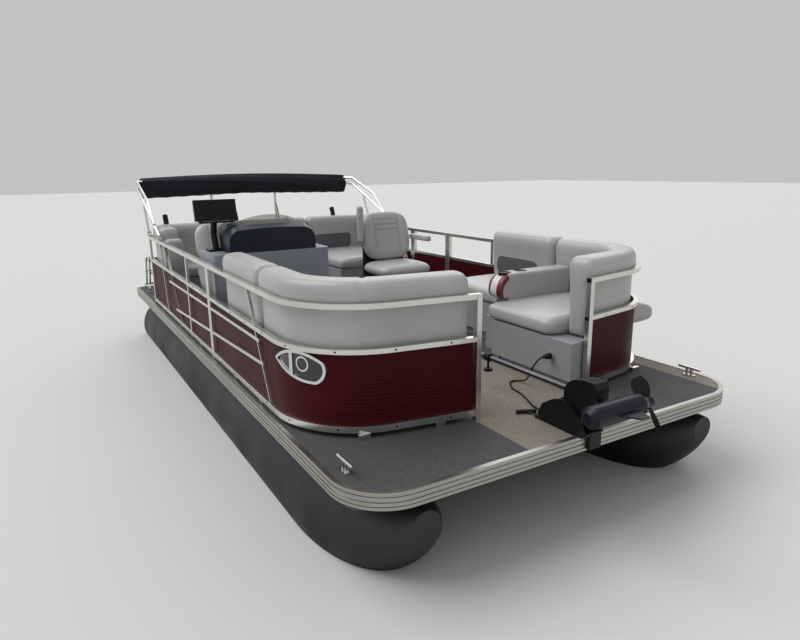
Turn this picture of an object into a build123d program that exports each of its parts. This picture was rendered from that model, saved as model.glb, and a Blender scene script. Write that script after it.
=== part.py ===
"""Pontoon boat of the 18 foot class, as separate pieces.

Millimetres, +X toward the bow, +Y to port, +Z up. z = 0 is the underside of the two keels,
and the origin lies midway between the foremost and the aftmost point.
"""

import os
from math import atan2, cos, degrees, hypot, pi, radians, sin, sqrt, tan

from build123d import *

# Deck and hull
BEAM = 2590
DECK_LENGTH = 5650
DECK_CORNER_R = 280
STERN_CORNER_R = 70
BOARD_T = 22
CROSS_H = 75
CROSS_W = 50
CROSS_WALL = 4
CROSS_COUNT = 15
CROSS_FIRST = 160
CROSS_LAST = DECK_LENGTH - 170
RISER_H = 33
RISER_W = 150
TUBE_R = 305
TUBE_Y = BEAM / 2 - TUBE_R - 30
TUBE_END = DECK_LENGTH - 90
KEEL_H = 20
KEEL_W = 40
KEEL_START = 840
NOSE_START = 870
TRIM_H = 78
TRIM_T = 14
TRIM_LIP = 26
TRIM_LIP_T = 4
GROOVE = 5
TRIM_JOINT = 900
TRIM_JOINT_W = 4
SEAT_GAP = 0.3

# Distance aft of the nose's start and radius of each nose section; all share the tube's top line
NOSE_SECTIONS = (
    (250, 293),
    (450, 260),
    (630, 205),
    (730, 160),
    (800, 118),
    (850, 75),
)

# Rail fence
FENCE_INSET = 50
RAIL_W = 30
RAIL_TOP = 680
RAIL_H = 28
MID_TOP = 455
MID_H = 25
TRACK_BOTTOM = 25
TRACK_TOP = 60
PANEL_T = 4
PANEL_IN = 5
POST_W = 32
FRONT_AFT = 460
FRONT_SLOPE = 0.16
FENCE_BEND_R = 500
STERN_BEND_R = 90
GATE_Y_STARBOARD = 343
GATE_Y_PORT = 433
FENCE_END = DECK_LENGTH - 943
SIDE_POST = 2330
SIDE_POST_AFT = 2990
GATE_FRONT = 3000
GATE_BACK = 3650
GATE_GAP = 8
HINGE_IN = 23
HINGE_H = 30
HINGE_HEIGHTS = (120, 560)
SLAT_W = 20
AFT_JOINT = FENCE_END - STERN_BEND_R - POST_W / 2

# Seats
BASE_H = 300
TOE_IN = 45
TOE_H = 70
SEAT_TOP = 430
BACK_TOP = 785
BACK_IN = 30
BACK_T = 135
ROLL_IN = 18
ROLL_T = 175
ROLL_BOTTOM = 620
SEAT_IN = 25
SEAT_DEPTH = 560
CUSHION_SPLIT = 15
CUP_R = 42
CUP_DEPTH = 75

# Outboard motor, stored tilted up on its stop
TILT_UP = 60
TILT_BEHIND = 360
TILT_BELOW = 20
STEER_AFT = 120
COWL_AHEAD = 80
COWL_AFT = 400
COWL_W = 300
COWL_LOW = 120
COWL_TOP = 560
COWL_WALL = 6
PLATE_DOWN = 500
GEAR_DOWN = 668
GEAR_R = 52
SKEG_DOWN = 815
PROP_R = 148
PROP_HUB_R = 48

# Bow-mounted electric motor, stored level along the deck: the pivot of its carriage lies just
# aft of the bow edge, and its shaft points aft
CARRY_BACK = 40
CARRY_Y = -15
CARRY_UP = 60
SHAFT_RISE = 140
SHAFT_R = 15
SHAFT_LENGTH = 1400
POD_AHEAD = 225
POD_R = 54
POD_NOSE = 225
POD_TAIL = 150
SPIGOT_R = 9
SPIGOT_LENGTH = 45
SMALL_PROP_R = 125
SMALL_HUB_R = 32
SKEG_REACH = 130
CHEEK_IN = 50
CHEEK_T = 20
PIN_R = 8
RUN_FIT = 0.05
COLLAR_BACK = 755

DECK_Z = KEEL_H + 2 * TUBE_R + RISER_H + CROSS_H + BOARD_T
TUBE_Z = KEEL_H + TUBE_R
CROSS_Z = DECK_Z - BOARD_T - CROSS_H
FENCE_Y = BEAM / 2 - FENCE_INSET

# Bow edge ahead of the origin, the middle between the outboard propeller and the bow motor's propeller
BOW_X = 3283

pieces = {}


def aft(distance):
    """X of a point this far aft of the deck's bow edge."""
    return BOW_X - distance


def up(height):
    """Z of a point this far above the deck."""
    return DECK_Z + height


def keep(label, piece):
    """Store a finished builder under its node's name."""
    pieces[label] = piece
    return piece


def shifted(points, side, distance):
    """The corners of an open run, each moved inboard by a distance (side: -1 starboard, 1 port)."""
    moved = []
    for i, (x, y) in enumerate(points):
        normals = []
        for (ax, ay), (bx, by) in zip(points[max(i - 1, 0) : i + 1], points[max(i, 1) : i + 2]):
            length = hypot(bx - ax, by - ay)
            normals.append((-(by - ay) / length * side, (bx - ax) / length * side))
        if i == 0:
            normals = normals[:1]
        nx = sum(n[0] for n in normals)
        ny = sum(n[1] for n in normals)
        scale = distance * len(normals) / (nx * nx + ny * ny)
        moved.append((x + nx * scale, y + ny * scale))
    return moved


def shortened(points, start, end):
    """A run with its two ends drawn in (or let out, if negative)."""
    (ax, ay), (bx, by) = points[0], points[1]
    (cx, cy), (dx, dy) = points[-2], points[-1]
    first = hypot(bx - ax, by - ay)
    last = hypot(dx - cx, dy - cy)
    head = (ax + (bx - ax) * start / first, ay + (by - ay) * start / first)
    tail = (dx + (cx - dx) * end / last, dy + (cy - dy) * end / last)
    return [head, *points[1:-1], tail]


def strip(points, radii, side, low, high):
    """Face between two lines that follow a run, at distances measured inboard from it."""
    near = shifted(points, side, low)
    far = shifted(points, side, high)
    with BuildSketch() as sk:
        with BuildLine():
            Polyline(*near, *reversed(far), close=True)
        make_face()
        for i, radius in enumerate(radii, 1):
            for row, distance in ((near, low), (far, high)):
                corner = sk.vertices().sort_by_distance(Vector(*row[i], 0))[0]
                fillet(corner, radius=max(radius - distance, 40))
    return sk.sketch


def layer(face, low, high, mode=Mode.ADD):
    """Raise a flat face from one height to another."""
    with BuildSketch(Plane.XY.offset(low)) as sk:
        add(face)
    extrude(sk.sketch, amount=high - low, mode=mode)


def block(x, y, z, mode=Mode.ADD):
    """A box between pairs of limits."""
    with Locations((sum(x) / 2, sum(y) / 2, sum(z) / 2)):
        Box(abs(x[1] - x[0]), abs(y[1] - y[0]), abs(z[1] - z[0]), mode=mode)


def bar(points, radius, bend=0, mode=Mode.ADD):
    """A round bar along straight runs, with bends of one radius if there are corners."""
    with BuildLine() as path:
        if bend:
            FilletPolyline(*points, radius=bend)
        else:
            Polyline(*points)
    with BuildSketch(Plane(origin=path.line @ 0, z_dir=path.line % 0)) as section:
        Circle(radius)
    sweep(section.sketch, path=path.line, mode=mode)


def side_plate(points, y, mode=Mode.ADD):
    """A plate whose outline is given in X and Z, between two Y limits."""
    with BuildSketch(Plane.XZ.offset(-y[0])) as sk:
        with BuildLine():
            Polyline(*points, close=True)
        make_face()
    extrude(sk.sketch, amount=y[0] - y[1], mode=mode)


def soften(piece, radius):
    """Round the edges round the top face."""
    fillet(piece.faces().sort_by(Axis.Z)[-1].edges(), radius=radius)


def blade(centre, axis, spoke, rows):
    """One propeller blade: rows of (reach, chord, thickness, pitch), pitch measured from the axis."""
    centre, axis, spoke = Vector(*centre), Vector(*axis), Vector(*spoke)
    across = axis.cross(spoke)
    faces = []
    for reach, chord, thick, pitch in rows:
        along = axis * cos(radians(pitch)) + across * sin(radians(pitch))
        with BuildSketch(Plane(origin=centre + spoke * reach, x_dir=along, z_dir=spoke)) as section:
            RectangleRounded(chord, thick, thick * 0.4)
        faces.append(section.sketch)
    loft(faces)


def cross_positions():
    """Distances aft of the bow edge of the cross members."""
    pitch = (CROSS_LAST - CROSS_FIRST) / (CROSS_COUNT - 1)
    return [CROSS_FIRST + i * pitch for i in range(CROSS_COUNT)]


# ---- hull


def pontoon(side):
    """One float: tube with a rising nose, keel strip and risers under the cross members."""
    y = side * TUBE_Y
    top = TUBE_Z + TUBE_R
    with BuildPart() as hull:
        with BuildSketch(Plane(origin=(aft(TUBE_END), y, TUBE_Z), z_dir=(1, 0, 0))):
            Circle(TUBE_R)
        extrude(amount=TUBE_END - NOSE_START)
        with BuildSketch(Plane(origin=(aft(NOSE_START), y, TUBE_Z), z_dir=(1, 0, 0))):
            Circle(TUBE_R)
        for ahead, radius in NOSE_SECTIONS:
            with BuildSketch(Plane(origin=(aft(NOSE_START - ahead), y, top - radius), z_dir=(1, 0, 0))):
                Circle(radius)
        loft()
        block((aft(TUBE_END), aft(KEEL_START)), (y - KEEL_W / 2, y + KEEL_W / 2), (0, KEEL_H + 8))
        for place in cross_positions():
            if place < TUBE_END:
                x = (aft(place) - CROSS_W / 2, aft(place) + CROSS_W / 2)
                half = RISER_W / 2 if place > NOSE_START / 2 else RISER_W / 4
                block(x, (y - half, y + half), (top - 20, CROSS_Z))
    return hull


def cross_members():
    """C channels across the two floats."""
    half = BEAM / 2 - TRIM_T - 1
    with BuildPart() as beams:
        for place in cross_positions():
            x = aft(place)
            block((x - CROSS_W / 2, x + CROSS_W / 2), (-half, half), (CROSS_Z, CROSS_Z + CROSS_H))
            block(
                (x - CROSS_W / 2 + CROSS_WALL, x + CROSS_W / 2),
                (-half, half),
                (CROSS_Z + CROSS_WALL, CROSS_Z + CROSS_H - CROSS_WALL),
                mode=Mode.SUBTRACT,
            )
        plan = deck_outline(TRIM_T + 1)
        layer(plan, CROSS_Z - 1, CROSS_Z + CROSS_H + 1, mode=Mode.INTERSECT)
    return beams


def deck_outline(inset):
    """Plan of the deck, drawn in from its edge by a distance."""
    bow = aft(inset)
    stern = aft(DECK_LENGTH - inset)
    half = BEAM / 2 - inset
    with BuildSketch() as sk:
        with BuildLine():
            Polyline((bow, -half), (bow, half), (stern, half), (stern, -half), close=True)
        make_face()
        fillet(sk.vertices().group_by(Axis.X)[-1], radius=DECK_CORNER_R - inset)
        fillet(sk.vertices().group_by(Axis.X)[0], radius=STERN_CORNER_R - inset)
    return sk.sketch


def deck_board():
    """The covered deck board."""
    with BuildPart() as board:
        layer(deck_outline(TRIM_T), DECK_Z - BOARD_T, DECK_Z)
    return board


def deck_trim():
    """Extruded edge trim: a grooved wall with a lip over the board, in two lengths a side."""
    with BuildPart() as trim:
        layer(deck_outline(0), up(-TRIM_H), up(TRIM_LIP_T))
        layer(deck_outline(TRIM_T), up(-TRIM_H), up(0), mode=Mode.SUBTRACT)
        layer(deck_outline(TRIM_LIP), up(-TRIM_H), up(TRIM_LIP_T), mode=Mode.SUBTRACT)
        for low, high in ((0.18, 0.24), (0.44, 0.56), (0.76, 0.82)):
            with BuildSketch(Plane.XY.offset(up(-TRIM_H * high))) as groove:
                add(deck_outline(-1))
                add(deck_outline(GROOVE), mode=Mode.SUBTRACT)
            extrude(groove.sketch, amount=TRIM_H * (high - low), mode=Mode.SUBTRACT)
        for side in (-1, 1):
            x = aft(TRIM_JOINT)
            block(
                (x - TRIM_JOINT_W / 2, x + TRIM_JOINT_W / 2),
                (side * (BEAM / 2 + 1), side * (BEAM / 2 - TRIM_LIP - 1)),
                (up(-TRIM_H) - 1, up(TRIM_LIP_T) + 1),
                mode=Mode.SUBTRACT,
            )
    return trim


POD_HALF_W = 230
POD_FRONT = DECK_LENGTH - 950
TRANSOM_T = 45
TRANSOM_TOP = DECK_Z - TILT_BELOW - 50
TILT_X = aft(DECK_LENGTH + TILT_BEHIND)
TILT_Z = DECK_Z - TILT_BELOW
TRANSOM_BACK = TILT_X + 50


def motor_mount():
    """Welded pod between the floats that carries the transom for the outboard."""
    well = CROSS_Z - 180
    points = [
        (aft(POD_FRONT), CROSS_Z),
        (aft(POD_FRONT + 280), TUBE_Z + 40),
        (TRANSOM_BACK, TUBE_Z),
        (TRANSOM_BACK, TRANSOM_TOP),
        (TRANSOM_BACK + TRANSOM_T, TRANSOM_TOP),
        (TRANSOM_BACK + TRANSOM_T, well),
        (aft(DECK_LENGTH + 30), well),
        (aft(DECK_LENGTH - 40), CROSS_Z),
    ]
    with BuildPart() as pod:
        side_plate(points, (-POD_HALF_W, POD_HALF_W))
    return pod


def cleats():
    """Four mooring cleats: two at the bow, two at the stern."""
    with BuildPart() as horns:
        near, far = 300, DECK_LENGTH - 400
        edge = BEAM / 2 - 90
        for place, y in ((near, edge), (near, -edge), (far, edge), (far, -edge)):
            x = aft(place)
            block((x - 35, x + 35), (y - 18, y + 18), (up(0), up(8)))
            block((x - 22, x - 8), (y - 8, y + 8), (up(8), up(44)))
            block((x + 8, x + 22), (y - 8, y + 8), (up(8), up(44)))
            bar([(x - 75, y, up(50)), (x + 75, y, up(50))], 9)
    return horns


# ---- fence


def bow_run(side, gate_y, end, start=0):
    """Line of the bow fence: from beside its gate post out to the side and aft to a distance."""
    corner = FRONT_AFT + FRONT_SLOPE * (FENCE_Y - gate_y)
    return [
        (aft(FRONT_AFT + FRONT_SLOPE * start), side * (gate_y + start)),
        (aft(corner), side * FENCE_Y),
        (aft(end), side * FENCE_Y),
    ]


RUN_STARBOARD = bow_run(-1, GATE_Y_STARBOARD, SIDE_POST)
RUN_PORT = bow_run(1, GATE_Y_PORT, GATE_FRONT)
RUN_STERN = [
    (aft(SIDE_POST), -FENCE_Y),
    (aft(FENCE_END), -FENCE_Y),
    (aft(FENCE_END), FENCE_Y),
    (aft(GATE_BACK), FENCE_Y),
]


def rails(points, radii, side):
    """Bottom track, middle rail and top rail along a run."""
    levels = ((TRACK_BOTTOM, TRACK_TOP), (MID_TOP - MID_H, MID_TOP), (RAIL_TOP - RAIL_H, RAIL_TOP))
    for low, high in levels:
        layer(strip(points, radii, side, -RAIL_W / 2, RAIL_W / 2), up(low), up(high))


def post(x, y, width=POST_W):
    """Full post from the deck to the top rail."""
    half = RAIL_W / 2
    block((x - width / 2, x + width / 2), (y - half, y + half), (up(0), up(RAIL_TOP)))


def face_post(x, side, width=POST_W):
    """Post on the outer face of a side run, in front of the panel."""
    outer = side * (FENCE_Y + RAIL_W / 2)
    inner = side * (FENCE_Y - PANEL_IN + SEAT_GAP)
    block((x - width / 2, x + width / 2), (outer, inner), (up(0), up(RAIL_TOP - 1)))


def foot(x, y, along_x=True):
    """Small foot between the bottom track and the deck."""
    a, b = (30, 12) if along_x else (12, 30)
    block((x - a, x + a), (y - b, y + b), (up(0), up(TRACK_BOTTOM)))


def slat(top, bottom, side, width=SLAT_W):
    """Slanted or level flat bar on the outer face, from one (aft, height) to another."""
    (a, h), (b, k) = top, bottom
    length = hypot(b - a, k - h)
    nx, nz = -(k - h) / length * width / 2, -(b - a) / length * width / 2
    outer = side * (FENCE_Y + RAIL_W / 2 - 2)
    inner = side * (FENCE_Y - PANEL_IN + SEAT_GAP)
    points = [
        (aft(a) + nx, up(h) - nz),
        (aft(b) + nx, up(k) - nz),
        (aft(b) - nx, up(k) + nz),
        (aft(a) - nx, up(h) + nz),
    ]
    side_plate(points, (min(outer, inner), max(outer, inner)))


def panel(points, radii, side, start, end):
    """Sheet panel between the bottom track and the middle rail."""
    run = shortened(points, start, end)
    with BuildPart() as sheet:
        layer(
            strip(run, radii, side, PANEL_IN, PANEL_IN + PANEL_T),
            up(TRACK_TOP),
            up(MID_TOP - MID_H),
        )
    return sheet


def fence_bow(side, points, joint_post):
    """Bow fence frame of one side, with its gate post and its slanted bars."""
    with BuildPart() as frame:
        rails(points, [FENCE_BEND_R], side)
        (gx, gy), (ex, ey) = points[0], points[-1]
        post(gx, gy + side * POST_W / 2)
        post(ex + POST_W / 2, ey)
        slat((1431, RAIL_TOP - RAIL_H), (1124, TRACK_TOP), side)
        last = joint_post
        slat((1255, 385), (last - 6, 372), side)
        slat((1205, 262), (last - 6, 262 - (last - 1205) * 0.055), side)
        if side > 0:
            face_post(aft(SIDE_POST), side)
        for place in (1300, 1800, 2280):
            foot(aft(place), ey)
        for share in (0.25, 0.7):
            fx = gx + (points[1][0] - gx) * share
            foot(fx, gy + (points[1][1] - gy) * share, along_x=False)
    return frame


def fence_aft_starboard():
    """Starboard side frame, from beside the helm console to the stern section's joint."""
    with BuildPart() as frame:
        rails([(aft(SIDE_POST), -FENCE_Y), (aft(AFT_JOINT), -FENCE_Y)], [], -1)
        post(aft(SIDE_POST) - POST_W / 2 - 1, -FENCE_Y)
        face_post(aft(SIDE_POST_AFT), -1)
        face_post(aft(AFT_JOINT - POST_W / 2), -1)
        slat((3815, RAIL_TOP - RAIL_H), (3345, TRACK_TOP), -1)
        slat((4050, RAIL_TOP - RAIL_H), (3915, TRACK_TOP), -1)
        slat((SIDE_POST + 8, 372), (3745, 352), -1)
        slat((SIDE_POST + 8, 200), (3540, 134), -1)
        for place in (2700, 3400, 4200):
            foot(aft(place), -FENCE_Y)
    return frame


def fence_stern():
    """Stern frame with its two rounded corners."""
    run = [
        (aft(AFT_JOINT + SEAT_GAP), -FENCE_Y),
        (aft(FENCE_END), -FENCE_Y),
        (aft(FENCE_END), FENCE_Y),
        (aft(AFT_JOINT + SEAT_GAP), FENCE_Y),
    ]
    with BuildPart() as frame:
        rails(run, [STERN_BEND_R, STERN_BEND_R], -1)
        for share in (-0.63, 0, 0.63):
            y = FENCE_Y * share
            block(
                (aft(FENCE_END) - RAIL_W / 2, aft(FENCE_END) + PANEL_IN - SEAT_GAP),
                (y - POST_W / 2, y + POST_W / 2),
                (up(0), up(RAIL_TOP - 1)),
            )
        for y in (-400, 400):
            foot(aft(FENCE_END), y, along_x=False)
    return frame


def fence_aft_port():
    """Port side frame between the stern section and the side gate, with the gate's hinge pins."""
    with BuildPart() as frame:
        rails([(aft(AFT_JOINT), FENCE_Y), (aft(GATE_BACK), FENCE_Y)], [], -1)
        post(aft(GATE_BACK) - POST_W / 2, FENCE_Y)
        face_post(aft(AFT_JOINT - POST_W / 2), 1)
        foot(aft(4200), FENCE_Y)
        hinge_x, hinge_y = aft(GATE_BACK) + GATE_GAP / 2, FENCE_Y - HINGE_IN
        for height in HINGE_HEIGHTS:
            low, high = up(height), up(height + HINGE_H)
            block((hinge_x - 30, hinge_x), (hinge_y + 3, FENCE_Y - RAIL_W / 2), (low, high))
            bar([(hinge_x, hinge_y, low), (hinge_x, hinge_y, high)], 7)
            bar([(hinge_x, hinge_y, high), (hinge_x, hinge_y, high + HINGE_H - 4)], 4)
    return frame


def side_gate():
    """Frame of the port side gate, hinged at its aft post."""
    front = aft(GATE_FRONT + GATE_GAP)
    back = aft(GATE_BACK - GATE_GAP)
    y = (FENCE_Y - RAIL_W / 2, FENCE_Y + RAIL_W / 2)
    with BuildPart() as frame:
        block((back, front), y, (up(TRACK_BOTTOM), up(RAIL_TOP)))
        inside = ((MID_TOP, RAIL_TOP - RAIL_H), (TRACK_TOP, MID_TOP - MID_H))
        for low, high in inside:
            block((back + POST_W, front - POST_W), y, (up(low), up(high)), mode=Mode.SUBTRACT)
        hinge_x, hinge_y = aft(GATE_BACK) + GATE_GAP / 2, FENCE_Y - HINGE_IN
        for height in HINGE_HEIGHTS:
            low, high = up(height + HINGE_H) + SEAT_GAP, up(height + 2 * HINGE_H)
            block((hinge_x, hinge_x + 30), (hinge_y + 3, FENCE_Y - RAIL_W / 2), (low, high))
            bar([(hinge_x, hinge_y, low), (hinge_x, hinge_y, high)], 7)
            bar([(hinge_x, hinge_y, low - 1), (hinge_x, hinge_y, high + 1)], 4 + RUN_FIT, mode=Mode.SUBTRACT)
    with BuildPart() as sheet:
        block(
            (back + POST_W, front - POST_W),
            (FENCE_Y - PANEL_IN - PANEL_T, FENCE_Y - PANEL_IN),
            (up(TRACK_TOP), up(MID_TOP - MID_H)),
        )
    return frame, sheet


# Docking lights: outline in the panel's plane as distances toward the bow and up from its
# middle, given as three arcs, each from a start through a point
LAMP_TURN = 23
LAMP_UP = 343
LAMP_ARCS = (((-176, 15), (0, 86)), ((165, 42), (174, -24)), ((122, -76), (-40, -54)))
LAMP_RIM = 15
LAMP_OUT = 9
LENS_OUT = 1
DIVIDER_AT = -32
DIVIDER_W = 24
REFLECTOR = (43, 20)
REFLECTOR_R = 40


def lamp_plane(side, gate_y):
    """Plane on the curved bow panel at the lamp's middle: X toward the bow, normal out."""
    centre_x = aft(FRONT_AFT) - FRONT_SLOPE * (FENCE_Y - FENCE_BEND_R - gate_y)
    centre_x -= FENCE_BEND_R * sqrt(1 + FRONT_SLOPE**2)
    centre_y = side * (FENCE_Y - FENCE_BEND_R)
    turn = radians(LAMP_TURN)
    out = (sin(turn), side * cos(turn), 0)
    origin = (centre_x + FENCE_BEND_R * out[0], centre_y + FENCE_BEND_R * out[1], up(LAMP_UP))
    return Plane(origin=origin, x_dir=(cos(turn), -side * sin(turn), 0), z_dir=out)


def lamp_outline(side):
    """Tapering outline of a docking light; the plane's Y points down on the port side."""
    starts = [(x, -side * y) for (x, y), through in LAMP_ARCS]
    throughs = [(x, -side * y) for start, (x, y) in LAMP_ARCS]
    with BuildSketch() as sk:
        with BuildLine():
            for start, through, end in zip(starts, throughs, starts[1:] + starts[:1]):
                ThreePointArc(start, through, end)
        make_face()
    return sk.sketch


def on_panel(face, plane, points, side, low, high):
    """A solid of a flat outline's form that follows the bow panel, between two depths inboard."""
    with BuildPart() as form:
        with BuildSketch(plane.offset(-90)) as outline:
            add(face)
        extrude(outline.sketch, amount=180)
        with BuildSketch(Plane.XY.offset(up(LAMP_UP - 150))) as band:
            add(strip(points, [FENCE_BEND_R], side, low, high))
        extrude(band.sketch, amount=300, mode=Mode.INTERSECT)
    return form.part


def docking_light(side, points, gate_y):
    """Bright bezel with a divider and a reflector ring, and the dark lens in it."""
    plane = lamp_plane(side, gate_y)
    outer = lamp_outline(side)
    with BuildSketch() as inner:
        add(outer)
        offset(amount=-LAMP_RIM, mode=Mode.REPLACE)
    with BuildSketch() as divider:
        with Locations((DIVIDER_AT, 0)):
            Rectangle(DIVIDER_W, 400)
        add(inner.sketch, mode=Mode.INTERSECT)
    with BuildSketch() as rim:
        add(outer)
        add(inner.sketch, mode=Mode.SUBTRACT)
        add(divider.sketch)
    with BuildSketch() as glass:
        add(outer)
        offset(amount=-LAMP_RIM - SEAT_GAP, mode=Mode.REPLACE)
        with Locations((DIVIDER_AT, 0)):
            Rectangle(DIVIDER_W + 2 * SEAT_GAP, 400, mode=Mode.SUBTRACT)
    with BuildSketch() as ring:
        with Locations((REFLECTOR[0], -side * REFLECTOR[1])):
            Circle(REFLECTOR_R)
            Circle(REFLECTOR_R - 9, mode=Mode.SUBTRACT)
    bezel = on_panel(rim.sketch, plane, points, side, -LAMP_OUT, PANEL_IN - SEAT_GAP)
    reflector = on_panel(ring.sketch, plane, points, side, -LAMP_OUT + 3, -LENS_OUT - SEAT_GAP)
    lens = on_panel(glass.sketch, plane, points, side, -LENS_OUT, PANEL_IN - SEAT_GAP)
    with BuildPart() as bright:
        add(bezel)
        add(reflector)
    with BuildPart() as dark:
        add(lens)
    return bright, dark


# ---- seats


def seat_face(points, radii, side, depth, x=None, y=None):
    """Plan of a seat beside a run, cut to limits if they are given."""
    face = strip(points, radii, side, SEAT_IN, depth)
    with BuildSketch() as sk:
        add(face)
        if x or y:
            x = x or (-9000, 9000)
            y = y or (-9000, 9000)
            with Locations((sum(x) / 2, sum(y) / 2)):
                Rectangle(abs(x[1] - x[0]), abs(y[1] - y[0]), mode=Mode.INTERSECT)
    return sk.sketch


def seat_base(faces):
    """Moulded base under seats, drawn in at the toe."""
    with BuildPart() as base:
        for face in faces:
            with BuildSketch() as sole:
                add(face)
                offset(amount=-TOE_IN, kind=Kind.INTERSECTION, mode=Mode.REPLACE)
            layer(sole.sketch, up(0), up(TOE_H))
            layer(face, up(TOE_H), up(BASE_H))
    return base


def seat_pads(faces):
    """Seat cushions, one solid for each face."""
    with BuildPart() as pads:
        for face in faces:
            layer(face, up(BASE_H), up(SEAT_TOP))
    tops = pads.faces().filter_by(Plane.XY).group_by(Axis.Z)[-1]
    with BuildPart() as soft:
        add(pads.part)
        fillet([e for f in soft.faces().filter_by(Plane.XY).group_by(Axis.Z)[-1] for e in f.edges()], radius=35)
    return soft


def back_pads(runs):
    """Back cushions: a flat body with a fuller roll along the top."""
    with BuildPart() as backs:
        for points, radii, side in runs:
            with BuildPart(mode=Mode.PRIVATE) as one:
                layer(strip(points, radii, side, ROLL_IN, ROLL_IN + ROLL_T), up(ROLL_BOTTOM), up(BACK_TOP))
                soften(one, 55)
                layer(strip(points, radii, side, BACK_IN, BACK_IN + BACK_T), up(SEAT_TOP), up(ROLL_BOTTOM))
            add(one.part)
    return backs


LOUNGE_START = POST_W + 4
STARBOARD_SPLIT = 1335
STARBOARD_END = 2060
PORT_FRONT_Y = 330
PORT_BACK_START = POST_W + 4
PORT_SPLIT = 1390
PORT_END = 2120
ARM_FRONT = 1190
ARM_BACK = 1330
ARM_Y = (390, 1180)
ARM_TOP = 600
PORT_SEAT_Y = 640


def lounge_starboard():
    """Starboard bow lounge: base, seat pads and back pads."""
    long_run = bow_run(-1, GATE_Y_STARBOARD, STARBOARD_END, LOUNGE_START)
    first = bow_run(-1, GATE_Y_STARBOARD, STARBOARD_SPLIT, LOUNGE_START)
    second = [(aft(STARBOARD_SPLIT + CUSHION_SPLIT), -FENCE_Y), (aft(STARBOARD_END), -FENCE_Y)]
    bend = [FENCE_BEND_R]
    seat = seat_face(long_run, bend, -1, SEAT_DEPTH)
    front_pad = seat_face(first, bend, -1, SEAT_DEPTH)
    side_pad = seat_face(second, [], -1, SEAT_DEPTH)
    keep("lounge_starboard_base", seat_base([seat]))
    keep("lounge_starboard_seats", seat_pads([front_pad, side_pad]))
    keep("lounge_starboard_backs", back_pads([(first, bend, -1), (second, [], -1)]))


def lounge_port():
    """Port bow lounge: corner seat, armrest with two cup wells, and an aft seat."""
    bend = [FENCE_BEND_R]
    wide = bow_run(1, GATE_Y_PORT, PORT_END, PORT_FRONT_Y - GATE_Y_PORT - 12)
    front = seat_face(wide, bend, 1, 900, x=(aft(ARM_FRONT - 1), aft(0)), y=(PORT_FRONT_Y, FENCE_Y))
    middle = seat_face(wide, bend, 1, 900, x=(aft(ARM_BACK), aft(ARM_FRONT - 1)), y=ARM_Y)
    rear = seat_face(wide, bend, 1, 900, x=(aft(PORT_END), aft(ARM_BACK)), y=(PORT_SEAT_Y, FENCE_Y))
    front_pad = seat_face(wide, bend, 1, 900, x=(aft(ARM_FRONT - 3), aft(0)), y=(PORT_FRONT_Y - 10, FENCE_Y))
    rear_pad = seat_face(
        wide, bend, 1, 900, x=(aft(PORT_END), aft(ARM_BACK + 3)), y=(PORT_SEAT_Y - 10, FENCE_Y)
    )
    keep("lounge_port_base", seat_base([front, middle, rear]))
    keep("lounge_port_seats", seat_pads([front_pad, rear_pad]))
    corner = bow_run(1, GATE_Y_PORT, PORT_SPLIT, PORT_BACK_START)
    along = [(aft(PORT_SPLIT + CUSHION_SPLIT), FENCE_Y), (aft(PORT_END), FENCE_Y)]
    keep("lounge_port_backs", back_pads([(corner, bend, 1), (along, [], 1)]))
    inner = FENCE_Y - ROLL_IN - ROLL_T - 4
    with BuildPart() as arm:
        block((aft(ARM_BACK - 2), aft(ARM_FRONT - 1)), (ARM_Y[0], inner), (up(BASE_H), up(ARM_TOP)))
        ends = arm.edges().filter_by(Axis.Z).group_by(Axis.Y)[0]
        fillet(ends, radius=45)
        fillet(arm.faces().sort_by(Axis.Z)[-1].edges(), radius=18)
        middle_x = aft((ARM_BACK + ARM_FRONT) / 2)
        for y in (ARM_Y[0] + 95, ARM_Y[0] + 235):
            with Locations((middle_x, y, up(ARM_TOP - CUP_DEPTH / 2))):
                Cylinder(CUP_R, CUP_DEPTH, mode=Mode.SUBTRACT)
    keep("lounge_port_armrest", arm)


STERN_SEAT = 560
CHAISE_FRONT = GATE_BACK + 50
CHAISE_Y = 400
BOLSTER_FRONT = FENCE_END - 707
BOLSTER_UP = 690


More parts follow.
